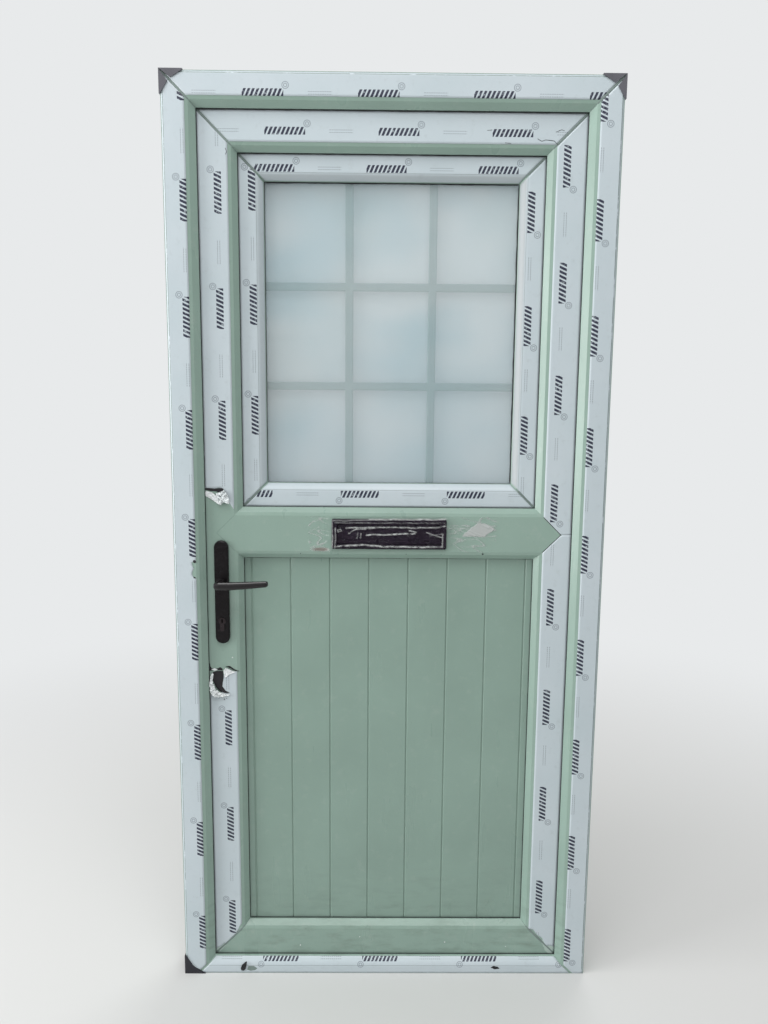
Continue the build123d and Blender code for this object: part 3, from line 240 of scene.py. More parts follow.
def sage_plastic(name, colour, dirt=0.25, grooved_from=None):
    """Satin foiled plastic: faint mottling, dust, rub marks and more grime near the floor. Grooves behind
    the given depth get painted light, paler than their shade."""
    shader = Shader(name)
    mottled = shader.mix(shader.noise(5, 4), toned(colour, 0.86), toned(colour, 1.12))
    dust = shader.span(shader.noise(38, 6, roughness=0.7), 0.55, 0.8, 0, dirt)
    dusty = shader.mix(dust, mottled, srgb(176, 184, 178))
    near_floor = shader.span(shader.axis("Z"), *GRIME_HEIGHTS, 1.0, 0.0)
    smears = shader.span(shader.noise(16, 4, stretch=(1, 1, 3.5), roughness=0.6), 0.48, 0.75, 0, 0.5)
    grimy = shader.mix(shader.times(near_floor, smears), dusty, srgb(98, 112, 100))
    # Painted light: grooves behind the panel's face are lightened against the shade that falls in them.
    if grooved_from is not None:
        behind = shader.math("SUBTRACT", shader.axis("Y"), grooved_from)
        grimy = shader.mix(shader.span(behind, *GROOVE_LIGHT_DEPTHS, 0, 0.15), grimy, srgb(190, 208, 198))
    specks = shader.span(shader.noise(420, 1), 0.76, 0.79, 0, 0.5)
    finished = shader.mix(specks, grimy, srgb(78, 84, 76))
    rubs = shader.noise(24, 3, stretch=(1, 1, 0.15))
    shader.bump(shader.noise(260, 2), 0.06 * MM)
    return shader.set(base_color=finished, roughness=shader.span(rubs, 0.3, 0.7, 0.26, 0.36))


def plain_finish(name, colour, roughness=0.5, metallic=0.0, grain=180, depth=0.08 * MM, variation=0.18):
    """A finish of one colour with fine grain and slight uneven tone."""
    shader = Shader(name)
    tone = shader.mix(shader.noise(30, 4), toned(colour, 1 - variation), toned(colour, 1 + variation))
    shader.bump(shader.noise(grain, 3), depth)
    rough = shader.span(shader.noise(60, 3), 0.3, 0.7, roughness * 0.8, roughness * 1.2)
    return shader.set(base_color=tone, roughness=rough, metallic=metallic)


def black_coating(name, colour, roughness, streak_sheen, shine=0.2):
    """Satin black powder coat with dust and pale scratches. streak_sheen is how much its sideways streaks
    of painted sheen show, and shine its specular level."""
    shader = Shader(name)
    dust = shader.span(shader.noise(120, 5), 0.52, 0.75, 0, 0.05)
    dusty = shader.mix(dust, colour, srgb(110, 106, 110))
    # Painted sheen: purple sideways streaks stand in for light glancing along the coating.
    streaks = shader.noise(40, 4, stretch=(1, 1, 14), roughness=0.6)
    sheen_streaked = shader.mix(shader.span(streaks, 0.45, 0.7, 0, streak_sheen), dusty, srgb(82, 66, 84))
    scratches = shader.span(shader.noise(60, 4, stretch=(1, 1, 9), distortion=0.6), 0.71, 0.75, 0, 0.14)
    shader.bump(shader.noise(900, 2), 0.02 * MM)
    shader.surface.inputs["Specular IOR Level"].default_value = shine
    return shader.set(
        base_color=shader.mix(scratches, sheen_streaked, srgb(150, 148, 146)),
        roughness=shader.span(shader.noise(40, 3), 0.3, 0.7, roughness * 0.8, roughness * 1.25),
    )


# Print on the films. Each repeat of it holds slanted bars, two rings at their end and a pair of dashed
# lines. Places run along the strip from the repeat's start, and across it from the middle of the print.
PRINT_PITCH = 246 * MM
MARK_LENGTH = 88 * MM
MARK_HEIGHT = 16 * MM
BAR_PITCH, BAR_SHARE, BAR_SLANT = 9.5 * MM, 0.6, 0.45
LINES_MIDDLE, LINES_HALF = 165 * MM, 26 * MM
LINE_AWAY, LINE_HALF = 2.6 * MM, 0.7 * MM
DASH_PITCH, DASH_SHARE = 5 * MM, 0.75
RINGS_ALONG, RINGS_ACROSS = MARK_LENGTH + 4 * MM, -15 * MM
RING_RADII, RING_HALF = (7 * MM, 3.5 * MM), 0.8 * MM

# Faint lines on the films: near the profile's outer edge, and painted shadow where the film bends over the
# facets.
RIM_PLACE, RIM_HALF = 4.4 * MM, 0.75 * MM
FOLD_SHADOW_PLACE, FOLD_SHADOW_HALF = 0.4 * MM, 0.45 * MM


def printed_film(name):
    """White film with a generic print: slanted bars with two rings, and pairs of fine lines between."""
    shader = Shader(name)
    film = shader.mix(shader.noise(7, 4), srgb(182, 196, 201), srgb(198, 207, 213))
    dirt = shader.span(shader.noise(55, 6, roughness=0.7), 0.56, 0.85, 0, 0.3)
    film = shader.mix(dirt, film, srgb(146, 154, 154))
    nicked = shader.span(shader.noise(30, 4, roughness=0.7), 0.36, 0.46)
    rim = shader.math("COMPARE", shader.attribute("edge"), RIM_PLACE, RIM_HALF)
    film = shader.mix(shader.times(rim, nicked), film, srgb(122, 140, 137))
    # Painted shadow: a dark line along the film where it bends over onto the facets.
    fold = shader.math("COMPARE", shader.attribute("fold"), FOLD_SHADOW_PLACE, FOLD_SHADOW_HALF)
    film = shader.mix(shader.times(fold, 0.6), film, srgb(96, 104, 104))
    # Painted shade: the film over the facets is darkened by each side's amount.
    film = shader.mix(shader.attribute("greyed"), film, srgb(150, 151, 151))

    row = shader.attribute("row")
    off_row = shader.math("ABSOLUTE", row)
    cell = shader.times(shader.way_through(shader.attribute("along"), PRINT_PITCH), PRINT_PITCH)
    in_row = shader.math("LESS_THAN", off_row, MARK_HEIGHT / 2)
    in_mark = shader.math("LESS_THAN", cell, MARK_LENGTH)
    slanted = shader.math("MULTIPLY_ADD", row, BAR_SLANT, cell)
    bar = shader.math("LESS_THAN", shader.way_through(slanted, BAR_PITCH), BAR_SHARE)
    worn = shader.span(shader.noise(160, 4), 0.2, 0.42)
    mark = shader.times(shader.times(in_row, in_mark), shader.times(bar, worn))
    inked = shader.mix(mark, film, srgb(36, 40, 60))

    line = shader.math("COMPARE", off_row, LINE_AWAY, LINE_HALF)
    stretch = shader.math("COMPARE", cell, LINES_MIDDLE, LINES_HALF)
    dashes = shader.math("LESS_THAN", shader.way_through(cell, DASH_PITCH), DASH_SHARE)
    lines = shader.times(shader.times(line, stretch), dashes)
    inked = shader.mix(shader.times(lines, 0.55), inked, srgb(88, 94, 106))

    across = shader.math("SUBTRACT", cell, RINGS_ALONG)
    away = shader.math("SUBTRACT", row, RINGS_ACROSS)
    squares = shader.math("ADD", shader.times(across, across), shader.times(away, away))
    reach = shader.math("SQRT", squares)
    outer, inner = (shader.math("COMPARE", reach, radius, RING_HALF) for radius in RING_RADII)
    rings = shader.math("MAXIMUM", outer, inner)
    inked = shader.mix(shader.times(rings, 0.6), inked, srgb(82, 90, 104))
    shader.bump(shader.noise(48, 4, distortion=0.4), 0.5 * MM, 0.5)
    return shader.set(base_color=inked, roughness=0.42)


def clear_tape(name):
    """Clear packing tape: see-through where it lies flat, and whitish along its creases, partly whitened
    tape and partly painted highlight.
    """
    shader = Shader(name)
    crease, stain = shader.attribute("crease"), shader.attribute("stain")
    fine = shader.span(shader.noise(150, 4, stretch=(1, 1, 4), distortion=1.2), 0.62, 0.78, 0, 0.12)
    white = shader.math("MAXIMUM", shader.math("MAXIMUM", crease, stain), fine)
    shader.bump(shader.noise(110, 4, stretch=(1, 1, 2), distortion=0.9), 1 * MM, 0.6)
    tint = shader.mix(stain, srgb(206, 210, 209), srgb(120, 106, 92))
    return shader.set(base_color=tint, roughness=0.12, alpha=shader.span(white, 0.0, 1.0, 0.0, 0.8))


# Heights between which the painted reflection that greys the glass near its foot fades out.
GLASS_REFLECTION_HEIGHTS = (1.2, 1.65)


def sky_painted_glass(name, opacity, roughness):
    """Pane with a painted reflection of soft blue and white clouds, greyer towards its foot with painted
    reflection of dark roofs, seen through by the rest.
    """
    shader = Shader(name)
    # Painted reflection: clouds, warm patches and the greyer foot stand in for sky and roofs mirrored in
    # the pane.
    clouds = shader.span(shader.noise(3.4, 2, stretch=(1, 1, 1.5)), 0.34, 0.6)
    tint = shader.mix(clouds, srgb(198, 217, 223), srgb(218, 228, 231))
    warm_reflection = shader.span(shader.noise(3.1, 2, stretch=(1.4, 1, 1)), 0.5, 0.75, 0, 0.3)
    tint = shader.mix(warm_reflection, tint, srgb(214, 221, 216))
    foot = shader.span(shader.axis("Z"), *GLASS_REFLECTION_HEIGHTS, 0.4, 0.0)
    tint = shader.mix(foot, tint, srgb(192, 206, 212))
    return shader.set(base_color=tint, roughness=roughness, alpha=opacity)


finishes = {
    "sage_upvc": sage_plastic("sage upvc", srgb(140, 164, 153)),
    "sage_panel": sage_plastic("sage panel", srgb(134, 158, 147), 0.18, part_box("door_panel")[0].y),
    "galvanised_steel": plain_finish("galvanised steel", srgb(168, 172, 176), 0.42, 0.9, grain=90),
    "black_gasket": plain_finish("black gasket", srgb(34, 35, 37), 0.7, grain=400),
    "grey_protector": plain_finish("grey protector", srgb(86, 86, 93), 0.55, grain=240, variation=0.3),
    "dark_protector": plain_finish("dark protector", srgb(30, 30, 38), 0.6, grain=240, variation=0.4),
    "zinc_steel": plain_finish("zinc steel", srgb(178, 178, 176), 0.32, 0.95, grain=120),
    "black_handle": black_coating("black handle", srgb(18, 15, 17), 0.3, 0.0),
    "black_lever": black_coating("black lever", srgb(20, 17, 19), 0.2, 0.0, 0.5),
    "black_letterplate": black_coating("black letterplate", srgb(24, 17, 30), 0.3, 0.2),
    "nickel": plain_finish("satin nickel", srgb(186, 178, 168), 0.28, 1.0, grain=300),
    "protective_film": printed_film("printed film"),
    "film_back": plain_finish("film underside", srgb(14, 12, 18), 0.6),
    "clear_tape": clear_tape("clear tape"),
    "satin_glass": sky_painted_glass("satin glass", 0.76, 0.3),
    "clear_glass": sky_painted_glass("clear glass", 0.28, 0.05),
    "aluminium_spacer": plain_finish("aluminium spacer", srgb(190, 192, 194), 0.35, 0.9),
    "sage_bars": plain_finish("sage bars", srgb(110, 140, 138), 0.4, variation=0.05),
    "weld": plain_finish("weld seam", srgb(116, 131, 127), 0.6, variation=0.3),
    "faint_seam": plain_finish("faint seam", srgb(124, 146, 137), 0.4, variation=0.1),
    "torn_film": plain_finish("torn film", srgb(226, 231, 232), 0.3, 0.0, 90, 0.6 * MM, 0.12),
    "residue": plain_finish("glue residue", srgb(168, 186, 178), 0.6, grain=60, variation=0.12),
    "old_brass": plain_finish("tarnished cylinder", srgb(58, 52, 54), 0.34, 0.9, grain=300, variation=0.3),
}

# Each CAD node gets the finish of its slot, apart from a few that look different.
record_slots = {entry["node"]: entry["material_slot"] for entry in frame["record"]["subparts"]}
own_finish = {
    "door_panel": "sage_panel", "outside_lever": "black_lever", "inside_lever": "black_lever",
    "window_handle": "black_lever",
}
for node_name, node in frame["nodes"].items():
    finish_name = own_finish.get(node_name, record_slots[node_name])
    node.data.materials.clear()
    node.data.materials.append(finishes[finish_name])


def placed(name, data):
    """A new object in the scene with this mesh, lamp or camera."""
    made = bpy.data.objects.new(name, data)
    bpy.context.scene.collection.objects.link(made)
    return made


def piece(
    name, verts, faces, materials, body, stands_for=(), attributes=None, face_material=None,
    smooth=True,
):
    """A mesh object that rides on a body, with values at its corners for the shaders."""
    mesh = bpy.data.meshes.new(name)
    mesh.from_pydata([tuple(vertex) for vertex in verts], [], faces)
    for key, values in (attributes or {}).items():
        mesh.attributes.new(key, "FLOAT", "POINT").data.foreach_set("value", values)
    for material in materials:
        mesh.materials.append(finishes[material])
    if face_material is not None:
        mesh.polygons.foreach_set("material_index", face_material)
    mesh.polygons.foreach_set("use_smooth", [smooth] * len(faces))
    mesh.update()
    made = placed(name, mesh)
    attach(made, body)
    if stands_for:
        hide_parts(*stands_for)


class Sheet:
    """Vertices and faces of thin closed sheets. A face's side is 0 in front, or 1 behind and on the rim."""

    def __init__(self):
        self.verts, self.faces, self.sides = [], [], []
        self.values = {}

    def add(self, rows, outward, thickness, **values):
        """Adds one sheet from rows of points, all of one length, with values for each of its points."""
        tall, wide = len(rows), len(rows[0])
        first, back = len(self.verts), tall * wide
        for lift in (thickness, 0.0):
            for line in rows:
                self.verts += [point + outward * lift for point in line]
            for name, grid in values.items():
                for line in grid:
                    self.values.setdefault(name, []).extend(line)

        def face(side, *corners):
            self.faces.append(tuple(first + corner for corner in corners))
            self.sides.append(side)

        def rim(a, b):
            face(1, a, b, b + back, a + back)

        for i in range(tall - 1):
            for j in range(wide - 1):
                a = i * wide + j
                b, c, d = a + 1, a + wide + 1, a + wide
                face(0, a, b, c, d)
                face(1, d + back, c + back, b + back, a + back)
        for i in range(tall - 1):
            rim(i * wide, (i + 1) * wide)
            rim((i + 2) * wide - 1, (i + 1) * wide - 1)
        last = (tall - 1) * wide
        for j in range(wide - 1):
            rim(j + 1, j)
            rim(last + j, last + j + 1)


FILM_THICKNESS = 0.15 * MM
FILM_STEP = 5 * MM
FILM_LIFT = 0.12 * MM
FILM_WAVE = 0.25 * MM
SEAM_HALF = 2.6 * MM
MITRE_GAP = 1.4 * SEAM_HALF


def resample(points, step):
    """Points about a step apart along a polyline, its corners kept, with their distance from the start."""
    out, travelled = [], 0.0
    for (u0, v0), (u1, v1) in zip(points, points[1:]):
        length = math.hypot(u1 - u0, v1 - v0)
        count = max(1, round(length / step))
        for number in range(count):
            share = number / count
            out.append((u0 + (u1 - u0) * share, v0 + (v1 - v0) * share, travelled + length * share))
        travelled += length
    out.append((*points[-1], travelled))
    return out


def grids_of(lines):
    """From lines of tuples, one grid for each place in the tuples."""
    return zip(*(zip(*line) for line in lines))


def ragged(base, roughness, seed):
    """A cut edge: the base function of the distance across, made uneven by noise."""
    return lambda u: base(u) + roughness * uneven(u * 90, seed, 0)


def film_strip(
    sheet, ring, side, section, print_row, phase, start=None, end=None, seed=0.0, lost=None, greyed=0.0
):
    """One strip of film with its print centred on a distance across. start and end give its ends as
    distances along, for each distance across, lost the width torn from its inner edge at a distance along,
    and greyed how much painted shade darkens it over the facets."""
    origin, along, inward = ring.axes(side)
    length = ring.length(side)
    start = start or (lambda u: u + MITRE_GAP)
    end = end or (lambda u: length - u - MITRE_GAP)
    across = resample(section, FILM_STEP)
    longest = max(end(u) - start(u) for u, _, _ in across)
    count = max(2, round(longest / FILM_STEP))
    outer, widest = section[0][0], section[-1][0] - section[0][0]
    lines = []
    for number in range(count + 1):
        share = number / count
        line = []
        for u, v, travelled in across:
            at = start(u) + (end(u) - start(u)) * share
            ripple = uneven(u * 22 + seed, at * 9, seed)
            lift = FILM_LIFT + FILM_WAVE * max(0.0, ripple - 0.05)
            kept = outer + (u - outer) * (1 - lost(at) / widest) if lost else u
            point = origin + along * at + inward * kept + INTO * (v - lift)
            line.append((point, at + phase, kept - u + outer + travelled - print_row, kept))
        lines.append(line)
    rows, alongs, print_rows, edges = grids_of(lines)
    folds = [[kept - ring.flat for kept in line] for line in edges]
    facet_shades = [[greyed if fold > 0 else 0.0 for fold in line] for line in folds]
    sheet.add(
        rows, -INTO, FILM_THICKNESS, along=alongs, row=print_rows, edge=edges, fold=folds, greyed=facet_shades
    )


def film_piece(name, sheet, body, node):
    piece(
        name, sheet.verts, sheet.faces, ["protective_film", "film_back"], body, (node,),
        sheet.values, sheet.sides,
    )


# How far across each ring the middle of its films' print lies.
FRAME_PRINT = 43 * MM
THRESHOLD_PRINT = 68 * MM
LEAF_PRINT = 73 * MM
WINDOW_PRINT = 60 * MM

# Films of the outer frame. The side ones stop at the floor, and the left one is torn at its inner edge
# beside the handle, between two heights above the floor.
FILM_MARGIN = 1 * MM
FLOOR_START = THRESHOLD_CUT + 0.5 * MM
NOTCH_LOW, NOTCH_HIGH, NOTCH_DEEP = 1000 * MM, 1042 * MM, 9.5 * MM


def notch_width(at):
    """How much of the left strip is torn away at a distance up the frame's side."""
    share = (at + frame_ring.bottom - NOTCH_LOW) / (NOTCH_HIGH - NOTCH_LOW)
    if not 0 < share < 1:
        return 0.0
    shape = min(1.0, 9 * share, 9 * (1 - share)) * (1 - 0.45 * math.exp(-((share - 0.55) / 0.13) ** 2))
    return NOTCH_DEEP * shape


def mitre_or_floor(u):
    """Where a side strip of the frame ends at its foot, as a distance up for a distance across."""
    return max(u + MITRE_GAP, FLOOR_START)


frame_sheet = Sheet()
frame_section = frame_ring.section(1.5 * FILM_MARGIN, frame_ring.flat)
film_strip(
    frame_sheet, frame_ring, "left", frame_section, FRAME_PRINT, 0.15, start=mitre_or_floor,
    lost=notch_width,
)
film_strip(frame_sheet, frame_ring, "top", frame_section, FRAME_PRINT, 0.074, seed=3.1)
film_strip(
    frame_sheet, frame_ring, "right", frame_section, FRAME_PRINT, 0.24, seed=6.2,
    end=lambda u: frame_ring.length("right") - mitre_or_floor(u),
)
threshold_section = frame_ring.section(THRESHOLD_CUT + FILM_MARGIN, frame_ring.sight - 2 * FILM_MARGIN)
film_strip(frame_sheet, frame_ring, "bottom", threshold_section, THRESHOLD_PRINT, 0.03, seed=9.0)
film_piece("frame_films", frame_sheet, "frame", "frame_film")

# Films of the leaf: torn away round the lock and along the foot of each stile, and cut along the arrow
# where the mid rail's right end runs into the stile.
leaf_sheet = Sheet()
leaf_section = leaf_ring.section(leaf_start, leaf_ring.flat)
leaf_length = leaf_ring.length("left")
rail_low, rail_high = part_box("leaf_mid_rail")
RAIL_MIDDLE = (rail_low.z + rail_high.z) / 2


def stepped(*corners):
    """How far up the leaf's side an edge runs for each distance across, straight between corners that are
    given in millimetres, as a distance across and a height above the floor."""
    def height(u):
        for (u0, z0), (u1, z1) in zip(corners, corners[1:]):
            if u <= u1 * MM:
                break
        share = min(1.0, max(0.0, (u / MM - u0) / (u1 - u0)))
        return (z0 + (z1 - z0) * share) * MM - leaf_ring.bottom
    return height


film_strip(
    leaf_sheet, leaf_ring, "left", leaf_section, LEAF_PRINT, 0.169, seed=1.0,
    start=ragged(stepped((30, 1206), (73, 1207), (86, 1172), (96, 1157)), 2 * MM, 4.0),
)
film_strip(
    leaf_sheet, leaf_ring, "left", leaf_section, LEAF_PRINT, 0.162, seed=2.0,
    start=ragged(stepped((30, 52), (55, 65), (80, 92), (96, 121)), 5 * MM, 5.0),
    end=ragged(stepped((30, 714), (58, 710), (65, 770), (96, 771)), 3 * MM, 6.0),
)
film_strip(leaf_sheet, leaf_ring, "top", leaf_section, LEAF_PRINT, 0.07, seed=3.0)
arrow_start = leaf_ring.right - rail_high.x


def arrow_reach(u):
    """Half the height of the arrow at a distance across the right stile, with the film's margin. Beside
    the arrow the two strips overlap a little."""
    return u - arrow_start + FILM_MARGIN if u > arrow_start else -0.1 * FILM_MARGIN


right_foot = stepped((30, 58), (50, 62), (65, 84), (96, 112))
film_strip(
    leaf_sheet, leaf_ring, "right", leaf_section, LEAF_PRINT, 0.15, seed=4.0,
    end=lambda u: leaf_ring.top - RAIL_MIDDLE - arrow_reach(u),
)
film_strip(
    leaf_sheet, leaf_ring, "right", leaf_section, LEAF_PRINT, 0.15, seed=4.0,
    start=lambda u: leaf_ring.top - RAIL_MIDDLE + arrow_reach(u),
    end=ragged(lambda u: leaf_length - right_foot(u), 6 * MM, 7.0),
)
film_piece("leaf_films", leaf_sheet, "leaf", "leaf_film")

# Films of the upper sash: they also cover its facets, which get painted shade on every side but the foot,
# most on the right.
window_sheet = Sheet()
window_section = window_ring.section(window_start, window_ring.sight - FILM_MARGIN)
for side, phase, greyed in (
    ("left", 0.05, 0.1), ("top", 0.18, 0.25), ("right", 0.142, 0.6), ("bottom", 0.345, 0.0)
):
    film_strip(
        window_sheet, window_ring, side, window_section, WINDOW_PRINT, phase, seed=20 + 9 * phase,
        greyed=greyed,
    )
film_piece("window_films", window_sheet, "window_sash", "window_film")


# The seam's section as a closed loop: sideways as a share of its half width, and how far it stands proud.
SEAM_SECTION = (
    (-1, 0.03 * MM), (-0.55, 0.31 * MM), (0.55, 0.31 * MM), (1, 0.03 * MM), (1, -0.3 * MM), (-1, -0.3 * MM)
)
SEAM_STEP = 3 * MM


def weld_seams(name, ring, body, start, sides):
    """A narrow raised seam along the mitre where each side begins, over the flat and the facets."""
    verts, faces = [], []
    across = resample(ring.section(start), SEAM_STEP)
    count = len(SEAM_SECTION)
    for side in sides:
        origin, along, inward = ring.axes(side)
        first = len(verts)
        sideways = (along - inward).normalized()
        for u, v, _ in across:
            middle = origin + (along + inward) * u + INTO * v
            half = SEAM_HALF * (1 + 0.25 * uneven(u * 160, first, 0))
            verts += [middle + sideways * half * aside - INTO * proud for aside, proud in SEAM_SECTION]
        for low in range(first, len(verts) - count, count):
            for a in range(count):
                b = (a + 1) % count
                faces.append((low + b, low + a, low + count + a, low + count + b))
        faces.append(tuple(range(first, first + count)))
        faces.append(tuple(reversed(range(len(verts) - count, len(verts)))))
    piece(name, verts, faces, ["weld"], body)


FRAME_SEAMS_FROM = 2 * MM
ALL_SIDES = ("left", "top", "right", "bottom")
weld_seams("frame_welds", frame_ring, "frame", FRAME_SEAMS_FROM, ("top", "right"))
weld_seams("leaf_welds", leaf_ring, "leaf", leaf_start, ALL_SIDES)
weld_seams("window_welds", window_ring, "window_sash", window_start, ALL_SIDES)

# The lips' grid, how far they reach back over the sightline, what shows of them at their very ends, and
# their clearances behind the profile and before what stands behind them.
LIP_STEP = 7 * MM
LIP_ROOT = 2.2 * MM
LIP_END = 0.3 * MM
LIP_GAP, LIP_CLEARANCE = 0.1 * MM, 0.8 * MM


def gasket_lip(name, body, opening, depths, proud):
    """The thin black lip that shows behind a sightline, proud of it by so many millimetres on each side,
    in the order of ALL_SIDES. Its wider stretches are painted shadow as well as gasket."""
    left, right, bottom, top = opening
    front, back = depths
    lip = Sheet()
    axes = side_axes(*opening, back)
    for number, side in enumerate(ALL_SIDES):
        origin, along, inward = axes[side]
        length = top - bottom if side in UPRIGHTS else right - left
        count = round(length / LIP_STEP)
        rows = []
        for row in range(count + 1):
            at = length * row / count
            wavy = 1 + 0.3 * uneven(at * 45, number, 0.5)
            shown_with_shadow = min(proud[number] * MM * wavy, at + LIP_END, length - at + LIP_END)
            rows.append([origin + along * at + inward * across for across in (-LIP_ROOT, shown_with_shadow)])
        lip.add(rows, -INTO, back - front)
    piece(name, lip.verts, lip.faces, ["black_gasket"], body, smooth=False)


def opening_of(ring, low=None, high=None):
    """The opening within a ring's sightlines, or within the given heights."""
    return (
        ring.left + ring.sight, ring.right - ring.sight,
        low or ring.bottom + ring.sight, high or ring.top - ring.sight,
    )


# Each lip runs from just behind its ring to just before what stands behind it.
panel_front, glass_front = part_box("door_panel")[0].y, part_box("glass_outer_pane")[0].y
# Widths for the left, top, right and bottom: the wider ones, under the heads and at the glass's top and
# right, are partly painted shadow.
for kind, body, ring, heights, behind, proud in (
    ("frame", "frame", frame_ring, (), leaf_ring.front, (1.0, 2.0, 0.8, 0.5)),
    ("sash", "leaf", leaf_ring, (rail_high.z, None), window_ring.front, (0.9, 1.8, 0.7, 0.5)),
    ("panel", "leaf", leaf_ring, (None, rail_low.z), panel_front, (1.1, 1.3, 1.1, 0.8)),
    ("glass", "window_sash", window_ring, (), glass_front, (0.9, 2.4, 2.6, 0.4)),
):
    depths = ring.front + LIP_DEPTH + LIP_GAP, behind - LIP_CLEARANCE
    gasket_lip(kind + "_gasket_lip", body, opening_of(ring, *heights), depths, proud)


def inside(point, outline):
    """Whether a point lies within a closed outline."""
    x, z = point
    crossings = 0
    for (x0, z0), (x1, z1) in zip(outline, outline[1:] + outline[:1]):
        if (z0 > z) != (z1 > z) and x < x0 + (z - z0) / (z1 - z0) * (x1 - x0):
            crossings += 1
    return crossings % 2 == 1


def torn_edge(outline, spacing, ragged_by):
    """Points along a closed outline, moved about by noise between its corners."""
    edge = []
    for (x0, z0), (x1, z1) in zip(outline, outline[1:] + outline[:1]):
        count = max(1, round(math.hypot(x1 - x0, z1 - z0) / spacing))
        for number in range(count):
            share = number / count
            x, z = x0 + (x1 - x0) * share, z0 + (z1 - z0) * share
            if number:
                x += ragged_by * uneven(x * 0.9, z * 0.9, 1)
                z += ragged_by * uneven(x * 0.9, z * 0.9, 7)
            edge.append((x, z))
    return edge


def extent(points):
    """Lowest and highest values of the points, first sideways and then in height."""
    return [limit(values) for values in zip(*points) for limit in (min, max)]


def points_within(edge, spacing):
    """A staggered grid of points inside a closed edge, clear of it."""
    low_x, high_x, low_z, high_z = extent(edge)
    points = []
    for i in range(math.ceil((high_z - low_z) / spacing)):
        for j in range(math.ceil((high_x - low_x) / spacing)):
            point = (low_x + (j + 0.5 * (i % 2)) * spacing, low_z + (i + 0.4) * spacing)
            room = min(math.hypot(point[0] - x, point[1] - z) for x, z in edge)
            if room > 0.45 * spacing and inside(point, edge):
                points.append(point)
    return points


def crumpled(x, z):
    """Uneven height of crumpled film at a point, from coarse and finer folds."""
    coarse = uneven(x * 0.16, z * 0.22, 3)
    fine = 0.6 * uneven(x * 0.45, z * 0.5, 5)
    return max(0.0, 0.5 + (coarse + fine))


class Scraps:
    """Torn pieces of film, glue and marks on a flat face. Outlines, as x and height above the floor, and
    lifts off the face are in millimetres."""

    FINISHES = ["torn_film", "film_back", "residue", "weld", "faint_seam"]
    THICKNESS = 0.12

    def __init__(self, face):
        self.face = face
        self.verts, self.faces, self.finish = [], [], []

    def add(self, finish, outline, lift, crumple=0.0, curl=(0, 0, 0), spacing=3.0, ragged_by=0.5):
        """curl is a direction in x and height, and how far the piece rises towards that side."""
        edge = torn_edge(outline, spacing, ragged_by)
        flat, _, triangles, *_ = geometry.delaunay_2d_cdt(
            [Vector(point) for point in edge + points_within(edge, spacing)], [],
            [list(range(len(edge)))], 1, 1e-5,
        )
        low_x, high_x, low_z, high_z = extent(edge)
        middle_x, middle_z = (low_x + high_x) / 2, (low_z + high_z) / 2
        half = max(high_x - low_x, high_z - low_z) / 2
        first, back = len(self.verts), len(flat)
        for thickness in (self.THICKNESS, 0.0):
            for x, z in flat:
                towards = ((x - middle_x) * curl[0] + (z - middle_z) * curl[1]) / half
                height = lift + crumple * crumpled(x, z) + curl[2] * max(0.0, towards + 0.3) ** 2
                self.verts.append(Vector((x * MM, self.face - (height + thickness) * MM, z * MM)))

        def face(kind, *corners):
            self.faces.append(tuple(first + corner for corner in corners))
            self.finish.append(self.FINISHES.index(kind))

        for a, b, c in triangles:
            face(finish, a, b, c)
            face("film_back" if finish == "torn_film" else finish, back + a, back + c, back + b)
        ways = [way for a, b, c in triangles for way in ((a, b), (b, c), (c, a))]
        known = set(ways)
        for start, end in ways:
            if (end, start) not in known:
                face(finish, end, start, back + start, back + end)

    def line(self, finish, points, half, lift=0.04):
        """A thin line from point to point."""
        for (x0, z0), (x1, z1) in zip(points, points[1:]):
            run = math.hypot(x1 - x0, z1 - z0)
            aside_x, aside_z = (z0 - z1) / run * half, (x1 - x0) / run * half
            self.add(finish, [
                (x0 - aside_x, z0 - aside_z), (x1 - aside_x, z1 - aside_z),
                (x1 + aside_x, z1 + aside_z), (x0 + aside_x, z0 + aside_z),
            ], lift, spacing=4, ragged_by=0.4)

    def speck(self, finish, x, z, size):
        """A small mark that stands on its corner."""
        self.add(finish, [(x - size, z), (x, z + size), (x + size, z), (x, z - size)], lift=0.1)

    def make(self, name, body):
        piece(
            name, self.verts, self.faces, self.FINISHES, body,
            face_material=self.finish, smooth=False,
        )


# Scraps on the leaf, first the upper tear on its left stile.
on_leaf = Scraps(leaf_ring.front)
on_leaf.add("film_back", [
    (-421.3, 1207), (-400, 1206), (-379, 1208), (-380, 1202), (-392, 1197), (-397, 1199), (-410, 1200),
    (-421.3, 1203),
], lift=0.15)
on_leaf.add("torn_film", [
    (-421.3, 1201), (-406, 1197), (-394, 1187), (-386, 1172), (-384, 1168), (-393, 1171), (-406, 1180),
    (-421.3, 1189),
], lift=0.5, crumple=2.0, curl=(1, -0.4, 1.5), spacing=2.2)
on_leaf.add("torn_film", [
    (-397, 1195), (-386, 1199), (-378, 1203), (-371, 1192), (-365, 1180), (-366, 1171), (-375, 1175),
    (-386, 1172), (-394, 1181),
], lift=1.0, crumple=9.0, curl=(0.7, -0.5, 3), spacing=1.8, ragged_by=0.8)
